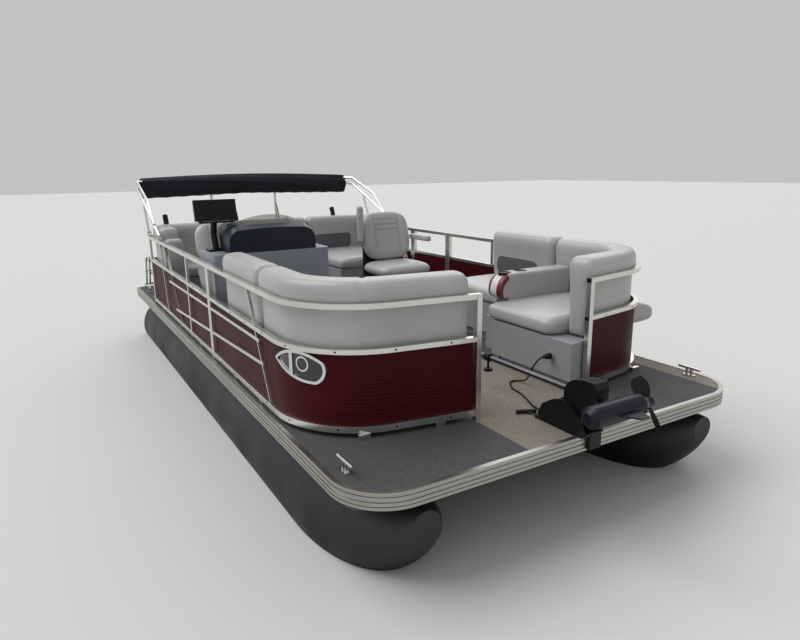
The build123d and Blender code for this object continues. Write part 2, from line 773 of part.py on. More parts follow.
def lounge_stern():
    """Full-width stern lounge with a chaise leg along the port side."""
    bends = [STERN_BEND_R, STERN_BEND_R]
    run = [
        (aft(BOLSTER_FRONT), -FENCE_Y),
        (aft(FENCE_END), -FENCE_Y),
        (aft(FENCE_END), FENCE_Y),
        (aft(CHAISE_FRONT), FENCE_Y),
    ]
    limit = aft(FENCE_END - STERN_SEAT - SEAT_IN)
    bench = seat_face(run, bends, -1, 900, x=(limit, aft(6000)), y=(-FENCE_Y, CHAISE_Y))
    chaise = seat_face(run, bends, -1, 900, x=(aft(CHAISE_FRONT), aft(6000)), y=(CHAISE_Y, FENCE_Y))
    keep("lounge_stern_base", seat_base([bench, chaise]))
    bench_pad = seat_face(run, bends, -1, 900, x=(limit + 10, aft(6000)), y=(-FENCE_Y, CHAISE_Y - 3))
    chaise_pad = seat_face(
        run, bends, -1, 900, x=(aft(CHAISE_FRONT - 10), aft(6000)), y=(CHAISE_Y, FENCE_Y)
    )
    keep("lounge_stern_seats", seat_pads([bench_pad, chaise_pad]))
    corner_x = aft(FENCE_END)
    gap = CUSHION_SPLIT
    left = [(limit - gap, -FENCE_Y), (corner_x, -FENCE_Y), (corner_x, -420)]
    centre = [(corner_x, -420 + gap), (corner_x, CHAISE_Y)]
    right = [(corner_x, CHAISE_Y + gap), (corner_x, FENCE_Y), (limit - gap, FENCE_Y)]
    bend = [STERN_BEND_R]
    keep("lounge_stern_backs", back_pads([(left, bend, -1), (centre, [], -1), (right, bend, -1)]))
    with BuildPart() as bolster:
        y = FENCE_Y - ROLL_IN
        block((limit + 12, aft(BOLSTER_FRONT)), (-y, -y + 190), (up(0), up(BOLSTER_UP)))
        soften(bolster, 40)
    keep("lounge_stern_bolster", bolster)


# ---- helm

CONSOLE_FRONT = 2330
CONSOLE_BACK = 2840
CONSOLE_Y = (45 - FENCE_Y, 915 - FENCE_Y)
CONSOLE_TOP = 730
HOOD_Y = (165 - FENCE_Y, 810 - FENCE_Y)
HOOD_FRONT_TOP = 900
HOOD_TOP = 935
HOOD_CORNER = 95
SCREEN_TOP = 988
SCREEN_T = 4
FINDER_Y = 150 - FENCE_Y
WHEEL_R = 168
WHEEL_RIM = 14
WHEEL_TURN = 60
WHEEL_Y = 485 - FENCE_Y
WHEEL_UP = 700
HELM_X = (CONSOLE_BACK + FENCE_END - SEAT_IN - 562) / 2
HELM_Y = 465 - FENCE_Y
CAPTAIN_X = 2750
CAPTAIN_Y = 500


def console():
    """Helm console: moulded base with a sloping dash, hood, screen and switches."""
    dash_low = 560
    points = [
        (aft(CONSOLE_FRONT + 25), up(0)),
        (aft(CONSOLE_FRONT), up(CONSOLE_TOP)),
        (aft(CONSOLE_BACK - 130), up(CONSOLE_TOP)),
        (aft(CONSOLE_BACK), up(dash_low)),
        (aft(CONSOLE_BACK - 60), up(dash_low - 90)),
        (aft(CONSOLE_BACK - 60), up(0)),
    ]
    with BuildPart() as base:
        side_plate(points, CONSOLE_Y)
        fillet(base.edges().filter_by(Axis.Z, tolerance=4), radius=30)
    keep("console_base", base)
    middle = sum(HOOD_Y) / 2
    half = (HOOD_Y[1] - HOOD_Y[0]) / 2
    front = aft(CONSOLE_FRONT + 12)
    back = aft(CONSOLE_BACK - 150)

    def hood_section(x, top, draw):
        """Arched section of the hood across the boat at one X."""
        with BuildSketch(Plane(origin=(x, middle, up(CONSOLE_TOP)), x_dir=(0, 1, 0), z_dir=(1, 0, 0))) as sk:
            rise = top - CONSOLE_TOP
            with BuildLine():
                Polyline((-half, rise - 16), (-half, 0), (half, 0), (half, rise - 16))
                ThreePointArc((half, rise - 16), (0, rise), (-half, rise - 16))
            make_face()
            fillet(sk.vertices().sort_by(Axis.Y)[-2:], radius=HOOD_CORNER - draw)
        return sk.sketch

    with BuildPart() as hood:
        loft([hood_section(back, HOOD_TOP, 0), hood_section(front - 60, HOOD_TOP - 10, 0)])
        loft([hood_section(front - 60, HOOD_TOP - 10, 0), hood_section(front, HOOD_FRONT_TOP, 5)])
    keep("console_hood", hood)
    with BuildPart() as screen:
        with BuildSketch(Plane.XY.offset(up(CONSOLE_TOP + 20))):
            with BuildLine():
                lead_x, trail_x = front - 70, front - 190
                inset = 6
                ThreePointArc((trail_x, middle - half - inset), (lead_x, middle), (trail_x, middle + half + inset))
                Line((trail_x, middle + half + inset), (trail_x - SCREEN_T, middle + half + inset))
                ThreePointArc(
                    (trail_x - SCREEN_T, middle + half + inset),
                    (lead_x - SCREEN_T, middle),
                    (trail_x - SCREEN_T, middle - half - inset),
                )
                Line((trail_x - SCREEN_T, middle - half - inset), (trail_x, middle - half - inset))
            make_face()
        extrude(amount=SCREEN_TOP - CONSOLE_TOP)
        with BuildSketch(Plane(origin=(aft(0), middle, up(0)), x_dir=(0, 1, 0), z_dir=(1, 0, 0))) as outline:
            with BuildLine():
                low, side_top = CONSOLE_TOP + 110, HOOD_TOP - 50
                Polyline((-half - 6, side_top), (-half - 6, low), (half + 6, low), (half + 6, side_top))
                ThreePointArc((half + 6, side_top), (0, SCREEN_TOP), (-half - 6, side_top))
            make_face()
        extrude(outline.sketch, amount=-4000, mode=Mode.INTERSECT)
        add(hood.part, mode=Mode.SUBTRACT)
    keep("windscreen", screen)
    with BuildPart() as finder:
        with Locations(Plane(origin=(aft(2600), FINDER_Y, up(1022)), x_dir=(0, 1, 0), z_dir=(1, 0, 0.18))):
            Box(300, 150, 34)
        block((aft(2630), aft(2570)), (FINDER_Y - 120, FINDER_Y + 130), (up(932), up(943)))
        for y in (FINDER_Y - 112, FINDER_Y + 114):
            block((aft(2612), aft(2592)), (y - 8, y + 8), (up(935), up(985)))
        block((aft(2665), aft(2560)), (FINDER_Y - 75, FINDER_Y + 10), (up(CONSOLE_TOP) + SEAT_GAP, up(CONSOLE_TOP + 14)))
        foot_y = FINDER_Y - 15
        bar([(aft(2600), foot_y, up(CONSOLE_TOP + 10)), (aft(2640), foot_y, up(850)), (aft(2605), foot_y, up(936))], 22, 30)
    keep("fish_finder", finder)


def wheel_plane():
    """Plane of the helm wheel, its normal toward the person at the helm."""
    turn = radians(WHEEL_TURN)
    return Plane(
        origin=(aft(CONSOLE_BACK + 95), WHEEL_Y, up(WHEEL_UP)),
        x_dir=(0, 1, 0),
        z_dir=(-sin(turn), 0, cos(turn)),
    )


def helm_wheel():
    """Steering wheel with three spokes and a hub, and its column on the dash."""
    plane = wheel_plane()
    with BuildPart() as wheel:
        with BuildSketch(Plane(origin=plane.from_local_coords((WHEEL_R, 0, 0)), x_dir=plane.x_dir, z_dir=plane.y_dir)):
            Circle(WHEEL_RIM)
        revolve(axis=Axis(plane.origin, plane.z_dir))
        with Locations(plane.offset(-12)):
            Cylinder(42, 44)
            with PolarLocations(WHEEL_R / 2, 3, start_angle=90):
                Box(WHEEL_R - 10, 24, 10)
    keep("helm_wheel", wheel)
    with BuildPart() as base:
        add(pieces["console_base"].part)
        with BuildSketch(plane.offset(-34 - SEAT_GAP)):
            Circle(38)
        extrude(amount=-140)
    keep("console_base", base)


CHAIR_W = 500
CHAIR_DEPTH = 480
CHAIR_SEAT = 500
CHAIR_BACK_TOP = 920
PEDESTAL_R = 36


def chair_post(label, place, y):
    """Pedestal with a round deck flange."""
    with BuildPart() as post_part:
        with Locations((aft(place), y, up(6))):
            Cylinder(150, 12)
        with Locations((aft(place), y, up(12 + 140))):
            Cylinder(PEDESTAL_R, 280)
    keep(label, post_part)


def chair_seat(label, place, y, top):
    """Swivel seat shell and cushion."""
    x = aft(place)
    with BuildPart() as shell:
        with Locations((x, y, up(292 + SEAT_GAP + 20))):
            Cylinder(110, 40)
        block((x - CHAIR_DEPTH / 2 + 20, x + CHAIR_DEPTH / 2 - 20), (y - 210, y + 210), (up(332), up(376)))
        block(
            (x - CHAIR_DEPTH / 2 - 22, x - CHAIR_DEPTH / 2 + 22),
            (y - 200, y + 200),
            (up(340), up(top - 120)),
        )
    keep(label + "_shell", shell)
    with BuildPart() as pad:
        block(
            (x - CHAIR_DEPTH / 2 + 24, x + CHAIR_DEPTH / 2),
            (y - CHAIR_W / 2, y + CHAIR_W / 2),
            (up(376 + SEAT_GAP), up(CHAIR_SEAT)),
        )
        fillet(pad.edges().filter_by(Axis.Z), radius=60)
        soften(pad, 38)
    keep(label + "_seat", pad)
    with BuildPart() as back:
        low = x - CHAIR_DEPTH / 2 + 22 + SEAT_GAP
        points = [
            (low, up(CHAIR_SEAT + 1)),
            (low + 110, up(CHAIR_SEAT + 1)),
            (low + 40, up(top)),
            (low - 60, up(top)),
        ]
        side_plate(points, (y - CHAIR_W / 2 + 10, y + CHAIR_W / 2 - 10))
        fillet(back.edges().filter_by(Axis.Y).group_by(Axis.Z)[-1], radius=40)
        add(shell.part, mode=Mode.SUBTRACT)
    keep(label + "_back", back)


ARM_PIVOT_UP = 690
ARM_REACH = 320


def chair_arm(label, place, y, side, raised):
    """One armrest: level, or turned up beside the back."""
    x = aft(place) - CHAIR_DEPTH / 2 + 60
    inner = y + side * (CHAIR_W / 2 - 10 + SEAT_GAP)
    outer = inner + side * 52
    with BuildPart() as arm:
        if raised:
            block((x - 25, x + 25), (inner, outer), (up(ARM_PIVOT_UP - 25), up(ARM_PIVOT_UP + ARM_REACH - 25)))
        else:
            block((x - 25, x + ARM_REACH - 25), (inner, outer), (up(ARM_PIVOT_UP - 25), up(ARM_PIVOT_UP + 25)))
        fillet(arm.edges().filter_by(Axis.Y), radius=20)
        bar([(x, inner, up(ARM_PIVOT_UP)), (x, outer, up(ARM_PIVOT_UP))], 25)
    keep(label, arm)


# ---- canopy, hoop, rod holders, ladder

CANOPY_PIVOT = GATE_BACK + 0.4257 * (FENCE_END - GATE_BACK)
CANOPY_PIVOT_UP = 722
STRUT_FOOT = FENCE_END - 67
EAR_GAP = 0.3
HINGE_HALF = 17.5
BOOT_AFT = FENCE_END + 523
BOOT_UP = 1150
BOOT_HALF = BEAM / 2 - 80
BOOT_R = 100
BOW_R = 13
BOW_Y = FENCE_Y
BOW_KNEE = (FENCE_END - 47, CANOPY_PIVOT_UP + 235)
BOW_REACH = (BOOT_AFT - 120, BOOT_UP - 20)
STRUT_SHARE = 0.289
STRUT_TOP = (
    BOW_KNEE[0] + STRUT_SHARE * (BOW_REACH[0] - BOW_KNEE[0]),
    BOW_KNEE[1] + STRUT_SHARE * (BOW_REACH[1] - BOW_KNEE[1]) - 29,
)


def canopy():
    """Folded canopy: curved bows, the long fabric boot over them and its struts."""
    with BuildPart() as bows:
        for side in (-1, 1):
            y = side * BOW_Y
            bar(
                [
                    (aft(CANOPY_PIVOT - 11), y, up(CANOPY_PIVOT_UP - 4.6)),
                    (aft(BOW_KNEE[0]), y, up(BOW_KNEE[1])),
                    (aft(BOW_REACH[0]), y, up(BOW_REACH[1])),
                    (aft(BOOT_AFT - 10), side * (BOOT_HALF - 60), up(BOOT_UP)),
                ],
                BOW_R,
                70,
            )
            bar(
                [
                    (aft(CANOPY_PIVOT + 180), y, up(CANOPY_PIVOT_UP + 90)),
                    (aft(CANOPY_PIVOT + 420), y, up(CANOPY_PIVOT_UP + 290)),
                    (aft(BOOT_AFT - 150), y, up(BOOT_UP + 45)),
                    (aft(BOOT_AFT - 20), side * (BOOT_HALF - 60), up(BOOT_UP + 45)),
                ],
                BOW_R,
                70,
            )
            tab = [(STRUT_TOP[0] - 9, STRUT_TOP[1] - 8), (STRUT_TOP[0] + 9, STRUT_TOP[1] - 8)]
            tab += [(STRUT_TOP[0] + 14, STRUT_TOP[1] + 32), (STRUT_TOP[0] - 14, STRUT_TOP[1] + 32)]
            side_plate([(aft(a), up(h)) for a, h in tab], (y - 3, y + 3))
            x, z = aft(STRUT_TOP[0]), up(STRUT_TOP[1])
            bar([(x, y - 3, z), (x, y + 11, z)], 4)
            x, z = aft(CANOPY_PIVOT), up(CANOPY_PIVOT_UP)
            bar([(x, y - 20, z), (x, y + 20, z)], 4 + RUN_FIT, mode=Mode.SUBTRACT)
    with BuildPart() as boot:
        with BuildLine() as spine:
            ThreePointArc(
                (aft(BOOT_AFT), -BOOT_HALF, up(BOOT_UP - 25)),
                (aft(BOOT_AFT), 0, up(BOOT_UP)),
                (aft(BOOT_AFT), BOOT_HALF, up(BOOT_UP - 25)),
            )
        with BuildSketch(Plane(origin=spine.line @ 0, z_dir=spine.line % 0)) as section:
            Ellipse(BOOT_R * 1.15, BOOT_R * 0.95)
        sweep(section.sketch, path=spine.line)
        add(bows.part, mode=Mode.SUBTRACT)
    keep("canopy_bows", bows)
    keep("canopy_boot", boot)
    with BuildPart() as struts:
        for side in (-1, 1):
            y = side * BOW_Y
            x, z = aft(STRUT_TOP[0]), up(STRUT_TOP[1])
            reach = Vector(aft(STRUT_FOOT) - x, 0, up(CANOPY_PIVOT_UP) - z).normalized()
            top = Vector(x, y, z) + reach * 24
            bar([tuple(top), (aft(STRUT_FOOT), y, up(RAIL_TOP + 6 + 14))], 11)
            across = Vector(reach.Z, 0, -reach.X) * 9
            ends = (Vector(x, y, z) - reach * 9, Vector(x, y, z) + reach * 34)
            corners = [ends[0] - across, ends[1] - across, ends[1] + across, ends[0] + across]
            side_plate([(c.X, c.Z) for c in corners], (y + 3 + EAR_GAP, y + 9))
            bar([(x, y, z), (x, y + 20, z)], 4 + RUN_FIT, mode=Mode.SUBTRACT)
            block(
                (aft(STRUT_FOOT) - 30, aft(STRUT_FOOT) + 30),
                (y - 30, y + 30),
                (up(RAIL_TOP - 20), up(RAIL_TOP + 6) + SEAT_GAP),
                mode=Mode.SUBTRACT,
            )
    keep("canopy_struts", struts)
    with BuildPart() as hinges:
        for side in (-1, 1):
            y = side * BOW_Y
            for place, tube, ear in ((CANOPY_PIVOT, BOW_R, 18), (STRUT_FOOT, 11, 0)):
                across = (y - HINGE_HALF, y + HINGE_HALF)
                block((aft(place) - 30, aft(place) + 30), across, (up(RAIL_TOP), up(RAIL_TOP + 6)))
                top = up(CANOPY_PIVOT_UP + ear)
                bottom = up(RAIL_TOP + 6) + (SEAT_GAP if ear == 0 else 0)
                for low, high in ((tube + EAR_GAP, HINGE_HALF), (-HINGE_HALF, -tube - EAR_GAP)):
                    block((aft(place) - 16, aft(place) + 16), (y + low, y + high), (bottom, top))
            x, z = aft(CANOPY_PIVOT), up(CANOPY_PIVOT_UP)
            bar([(x, y - HINGE_HALF, z), (x, y + HINGE_HALF, z)], 4)
    keep("canopy_hinges", hinges)


HOOP_AFT = DECK_LENGTH - 150
HOOP_UP = 1120
BRACE_AFT = DECK_LENGTH - 650


def tow_hoop():
    """Light tow hoop of bent tube on the aft deck, with two forward braces."""
    with BuildPart() as hoop:
        bar(
            [
                (aft(HOOP_AFT), -400, up(4)),
                (aft(HOOP_AFT), -385, up(HOOP_UP)),
                (aft(HOOP_AFT), 385, up(HOOP_UP)),
                (aft(HOOP_AFT), 400, up(4)),
            ],
            17,
            120,
        )
        for side in (-1, 1):
            bar([(aft(BRACE_AFT), side * 392, up(8)), (aft(HOOP_AFT - 10), side * 388, up(900))], 13)
            for place in (HOOP_AFT, BRACE_AFT):
                with Locations((aft(place), side * 396, up(4))):
                    Cylinder(34, 8)
    keep("tow_hoop", hoop)


ROD_R = 26
ROD_BORE = 21
ROD_LENGTH = 240
ROD_LEAN = 25
ROD_AFT = FENCE_END + 50
ROD_SPOTS = ((ROD_AFT, -1040), (ROD_AFT, -310), (ROD_AFT, 850))


def rod_plane(place, y):
    """Plane at the foot of a rod holder's tube, its normal along the tube."""
    lean = radians(ROD_LEAN)
    return Plane(origin=(aft(place), y, up(640)), x_dir=(0, 1, 0), z_dir=(-sin(lean), 0, cos(lean)))


def rod_holders():
    """Three tubular rod holders clamped behind the stern rail."""
    with BuildPart() as holders:
        for place, y in ROD_SPOTS:
            plane = rod_plane(place, y)
            with BuildSketch(plane):
                Circle(ROD_R)
            extrude(amount=ROD_LENGTH)
            block(
                (aft(FENCE_END) - RAIL_W / 2, aft(place) + 10),
                (y - 18, y + 18),
                (up(RAIL_TOP - RAIL_H), up(RAIL_TOP)),
            )
            with BuildSketch(plane.offset(25)):
                Circle(ROD_BORE)
            extrude(amount=ROD_LENGTH, mode=Mode.SUBTRACT)
    keep("rod_holders", holders)


LADDER_AFT = DECK_LENGTH + 22
LADDER_Y = (-1170, -850)
LADDER_UP = 24
LADDER_LENGTH = 360
LADDER_LEAN = 22
LADDER_FOLD = 16
LADDER_INSET = 30


def ladder():
    """Two-part boarding ladder folded up on the aft deck."""
    y0, y1 = LADDER_Y
    lean = radians(LADDER_LEAN)

    def at(along, off):
        """Point at a distance along the folded ladder and ahead of it."""
        return (
            aft(LADDER_AFT) + along * sin(lean) + off * cos(lean),
            up(LADDER_UP) + along * cos(lean) - off * sin(lean),
        )

    with BuildPart() as brackets:
        for y in (y0 - 32, y1 + 22):
            block(
                (aft(LADDER_AFT) - 14, aft(LADDER_AFT) + 110),
                (y, y + 10),
                (up(TRIM_LIP_T), up(LADDER_UP + 14)),
            )
        inner = (y0 - 22 + SEAT_GAP, y1 + 22 - SEAT_GAP)
        bar([(aft(LADDER_AFT), inner[0], up(LADDER_UP)), (aft(LADDER_AFT), inner[1], up(LADDER_UP))], 6)
    keep("ladder_brackets", brackets)
    with BuildPart() as upper:
        for y in LADDER_Y:
            (x0, z0), (x1, z1) = at(0, 0), at(LADDER_LENGTH, 0)
            bar([(x0, y, z0), (x1, y, z1)], 12)
        for along in (0, LADDER_LENGTH * 0.5, LADDER_LENGTH - 40):
            x, z = at(along, 0)
            bar([(x, y0 - 10, z), (x, y1 + 10, z)], 10.5)
        x, z = at(0, 0)
        bar([(x, y0 - 40, z), (x, y1 + 40, z)], 6 + RUN_FIT, mode=Mode.SUBTRACT)
        corners = [at(LADDER_LENGTH - 14, -10), at(LADDER_LENGTH + 10, -10)]
        corners += [at(LADDER_LENGTH + 10, LADDER_FOLD + 8), at(LADDER_LENGTH - 14, LADDER_FOLD + 8)]
        x, z = at(LADDER_LENGTH, LADDER_FOLD)
        for y, inward in ((y0, 1), (y1, -1)):
            side_plate(corners, (y - 5, y + 5))
            bar([(x, y, z), (x, y + inward * (LADDER_INSET + 14), z)], 5)
    keep("ladder_upper", upper)
    with BuildPart() as lower:
        for y in (y0 + LADDER_INSET, y1 - LADDER_INSET):
            (x0, z0), (x1, z1) = at(LADDER_LENGTH - 16, 2 * LADDER_FOLD), at(30, 2 * LADDER_FOLD)
            bar([(x0, y, z0), (x1, y, z1)], 11)
            bar([(x, y, z), (x0, y, z0)], 8)
            bar([(x, y - 12, z), (x, y + 12, z)], 9)
        for along in (30, LADDER_LENGTH * 0.45, LADDER_LENGTH - 40):
            rung_x, rung_z = at(along, 2 * LADDER_FOLD)
            bar([(rung_x, y0 + LADDER_INSET - 8, rung_z), (rung_x, y1 - LADDER_INSET + 8, rung_z)], 10)
        bar([(x, y0, z), (x, y1, z)], 5 + RUN_FIT, mode=Mode.SUBTRACT)
    keep("ladder_lower", lower)


# ---- outboard


def tilted(shape):
    """Turn a shape built upright about the tilt tube into its stored place."""
    return shape.rotate(Axis((TILT_X, 0, TILT_Z), (0, 1, 0)), TILT_UP)


def store(label, builder):
    """Keep an upright outboard piece in its tilted place."""
    with BuildPart() as placed:
        add(tilted(builder.part))
    keep(label, placed)


def outboard():
    """Outboard motor: clamp bracket, swivel, leg, gearcase, cowl, engine and propeller."""
    px, pz = TILT_X, TILT_Z

    def at(behind, above):
        return (px - behind, pz + above)

    with BuildPart() as bracket:
        for side in (-1, 1):
            y = sorted((side * 70, side * 84))
            points = [
                (px + 30, pz + 25),
                (px - 28, pz + 25),
                (px - 28, pz - 60),
                (TRANSOM_BACK - 22, pz - 330),
                (TRANSOM_BACK - SEAT_GAP, pz - 330),
                (TRANSOM_BACK - SEAT_GAP, TRANSOM_TOP + SEAT_GAP),
                (px + 95, TRANSOM_TOP + SEAT_GAP),
                (px + 95, pz - 10),
            ]
            side_plate(points, y)
        bar([(px, -84, pz), (px, 84, pz)], 14)
    keep("outboard_bracket", bracket)

    with BuildPart() as swivel:
        with BuildSketch(Plane.XZ.offset(-65)):
            with Locations((px, pz)):
                Circle(32)
        extrude(amount=130)
        block((px - STEER_AFT, px), (-40, 40), (pz - 28, pz + 28))
        with BuildSketch(Plane.XY.offset(pz - 300)):
            with Locations((px - STEER_AFT, 0)):
                Circle(36)
        extrude(amount=340)
        with BuildSketch(Plane.XZ.offset(-85)):
            with Locations((px, pz)):
                Circle(14.05)
        extrude(amount=170, mode=Mode.SUBTRACT)
        with BuildSketch(Plane.XY.offset(pz - 301)):
            with Locations((px - STEER_AFT, 0)):
                Circle(20.05)
        extrude(amount=342, mode=Mode.SUBTRACT)
    store("outboard_swivel", swivel)

    steer_x = px - STEER_AFT
    with BuildPart() as leg:
        with BuildSketch(Plane.XY.offset(pz - 340)):
            with Locations((steer_x, 0)):
                Circle(20)
        extrude(amount=420)
        block((steer_x - 110, steer_x + 40), (-45, 45), (pz + 46, pz + 90))
        block((steer_x - 110, steer_x + 30), (-32, 32), (pz - 345, pz - 306))
        with BuildSketch(Plane.XY.offset(pz + COWL_LOW - 25 - SEAT_GAP)):
            with Locations((steer_x - 180, 0)):
                Ellipse(118, 70)
        with BuildSketch(Plane.XY.offset(pz - 200)):
            with Locations((steer_x - 120, 0)):
                Ellipse(75, 44)
        with BuildSketch(Plane.XY.offset(pz - PLATE_DOWN)):
            with Locations((steer_x - 115, 0)):
                Ellipse(85, 32)
        loft()
        with BuildSketch(Plane.XY.offset(pz - PLATE_DOWN)):
            with Locations((steer_x - 150, 0)):
                Ellipse(170, 75)
        extrude(amount=8)
    store("outboard_leg", leg)

    with BuildPart() as gearcase:
        with BuildSketch(Plane.XY.offset(pz - PLATE_DOWN - SEAT_GAP)):
            with BuildLine():
                nose, middle, tail = steer_x - 33, steer_x - 115, steer_x - 197
                ThreePointArc((nose, 0), (middle, 26), (tail, 0))
                ThreePointArc((tail, 0), (middle, -26), (nose, 0))
            make_face()
        extrude(amount=-(GEAR_DOWN - PLATE_DOWN))
        with BuildSketch(Plane(origin=(px, 0, pz - GEAR_DOWN), x_dir=(1, 0, 0), z_dir=(0, 0, 1))):
            with BuildLine():
                ball = GEAR_R * 0.7
                half = ball * sin(radians(45))
                Polyline((-STEER_AFT + ball, 0), (-STEER_AFT - 230, 0), (-STEER_AFT - 230, 40))
                Polyline((-STEER_AFT - 230, 40), (-STEER_AFT - 90, GEAR_R), (-STEER_AFT, ball))
                ThreePointArc((-STEER_AFT, ball), (-STEER_AFT + half, half), (-STEER_AFT + ball, 0))
            make_face()
        revolve(axis=Axis((px, 0, pz - GEAR_DOWN), (1, 0, 0)))
        points = [
            at(STEER_AFT + 20, -GEAR_DOWN - 20),
            at(STEER_AFT + 190, -GEAR_DOWN - 20),
            at(STEER_AFT + 150, -SKEG_DOWN),
            at(STEER_AFT + 90, -SKEG_DOWN + 15),
        ]
        side_plate(points, (-5, 5))
        with BuildSketch(Plane(origin=(px - STEER_AFT - 200, 0, pz - GEAR_DOWN), z_dir=(-1, 0, 0))):
            Circle(10)
        extrude(amount=140)
    store("outboard_gearcase", gearcase)

    with BuildPart() as prop:
        hub_x = px - STEER_AFT - 232
        with BuildSketch(Plane(origin=(hub_x, 0, pz - GEAR_DOWN), z_dir=(-1, 0, 0))):
            Circle(PROP_HUB_R)
        extrude(amount=95)
        rows = ((PROP_HUB_R - 10, 84, 8, 35), (PROP_R * 0.68, 104, 7, 52), (PROP_R - 2, 52, 5, 64))
        for i in range(3):
            turn = radians(90 + i * 120)
            spoke = (0, cos(turn), sin(turn))
            blade((hub_x - 48, 0, pz - GEAR_DOWN), (-1, 0, 0), spoke, rows)
        with BuildSketch(Plane(origin=(hub_x + 5, 0, pz - GEAR_DOWN), z_dir=(-1, 0, 0))):
            Circle(10.05)
        extrude(amount=110, mode=Mode.SUBTRACT)
    store("outboard_propeller", prop)

    x0, x1 = px - COWL_AFT, px + COWL_AHEAD

    def cowl_form(wall, mode):
        """The cowl's form, drawn in by a wall."""
        rows = (
            (COWL_LOW, 0, 0),
            (COWL_LOW + 170, -6, -10),
            (COWL_TOP - 90, 12, 16),
            (COWL_TOP - wall, 70, 62),
        )
        faces = []
        for height, inset, side_in in rows:
            with BuildSketch(Plane.XY.offset(pz + height)) as ring:
                with Locations(((x0 + x1) / 2, 0)):
                    RectangleRounded(
                        x1 - x0 - 2 * (inset + wall),
                        COWL_W - 2 * (side_in + wall),
                        60 - side_in / 4 - wall,
                    )
            faces.append(ring.sketch)
        loft(faces, ruled=True, mode=mode)

    with BuildPart() as cowl:
        cowl_form(0, Mode.ADD)
        cowl_form(COWL_WALL, Mode.SUBTRACT)
    store("outboard_cowl", cowl)
    with BuildPart() as pan:
        with BuildSketch(Plane.XY.offset(pz + COWL_LOW - 25)):
            with Locations(((x0 + x1) / 2, 0)):
                RectangleRounded(x1 - x0 - 8, COWL_W - 8, 56)
        extrude(amount=25 - SEAT_GAP)
    store("outboard_pan", pan)
    with BuildPart() as engine:
        block((px - COWL_AFT + 60, px + COWL_AHEAD - 50), (-95, 95), (pz + COWL_LOW, pz + COWL_TOP - 70))
    store("outboard_engine", engine)


# The bow motor is built about its pivot and then moved to its stored place


def stored(label, builder):
    """Keep a bow motor piece, moved from the pivot's own axes."""
    with BuildPart() as placed:
        add(builder.part.translate((aft(CARRY_BACK), CARRY_Y, up(CARRY_UP))))
    return keep(label, placed)


def bow_motor_mount():
    """Deck mount: base plate, two high side housings, the pivot pin and the release handle."""
    low = TRIM_LIP_T - CARRY_UP
    edge = CARRY_BACK
    profile = [
        (-240, low + 14 + SEAT_GAP),
        (-250, -24),
        (-220, 40),
        (-152, 82),
        (-92, 102),
        (-32, 90),
        (14, 48),
        (44, 4),
        (edge + 32, low + 14 + SEAT_GAP),
    ]
    with BuildPart() as mount:
        wide = CHEEK_IN + CHEEK_T
        block((-270, edge + 20), (-wide, wide), (low, low + 14))
        block((-250, edge - TRIM_LIP - 14), (-wide + 12, wide - 12), (-CARRY_UP, low))
        block((edge + SEAT_GAP, edge + 20), (-10, wide), (low - TRIM_H + 2, low))
        bar([(-260, -50, low + 8), (-342, -68, low + 8)], 4)
        bar([(-363, -118, low + 8), (-316, -18, low + 8)], 11)
    with BuildPart() as cheeks:
        for side in (-1, 1):
            side_plate(profile, sorted((side * CHEEK_IN, side * wide)))
        fillet(cheeks.edges().filter_by(Axis.Y).filter_by(lambda e: e.center().Z > -20), radius=14)
        bar([(0, -wide, 0), (0, wide, 0)], PIN_R)
    with BuildPart() as both:
        add(mount.part)
        add(cheeks.part)
    stored("bow_motor_mount", both)


def bow_motor_carriage():
    """Tilting carriage: an arm on the pivot pin with the block that the shaft slides in."""
    rise = SHAFT_RISE
    points = [
        (-22, -16),
        (16, -16),
        (30, rise - 75),
        (84, rise - 42),
        (108, rise - 10),
        (110, rise + 62),
        (96, rise + 92),
        (20, rise + 90),
        (-40, rise + 74),
        (-74, rise + 52),
        (-98, rise + 14),
        (-96, rise - 34),
        (-60, rise - 62),
    ]
    with BuildPart() as carriage:
        side_plate(points, (-CHEEK_IN + 6, CHEEK_IN - 6))
        bar([(-300, 0, rise), (200, 0, rise)], SHAFT_R + RUN_FIT, mode=Mode.SUBTRACT)
        bar([(0, -90, 0), (0, 90, 0)], PIN_R + RUN_FIT, mode=Mode.SUBTRACT)
    stored("bow_motor_carriage", carriage)


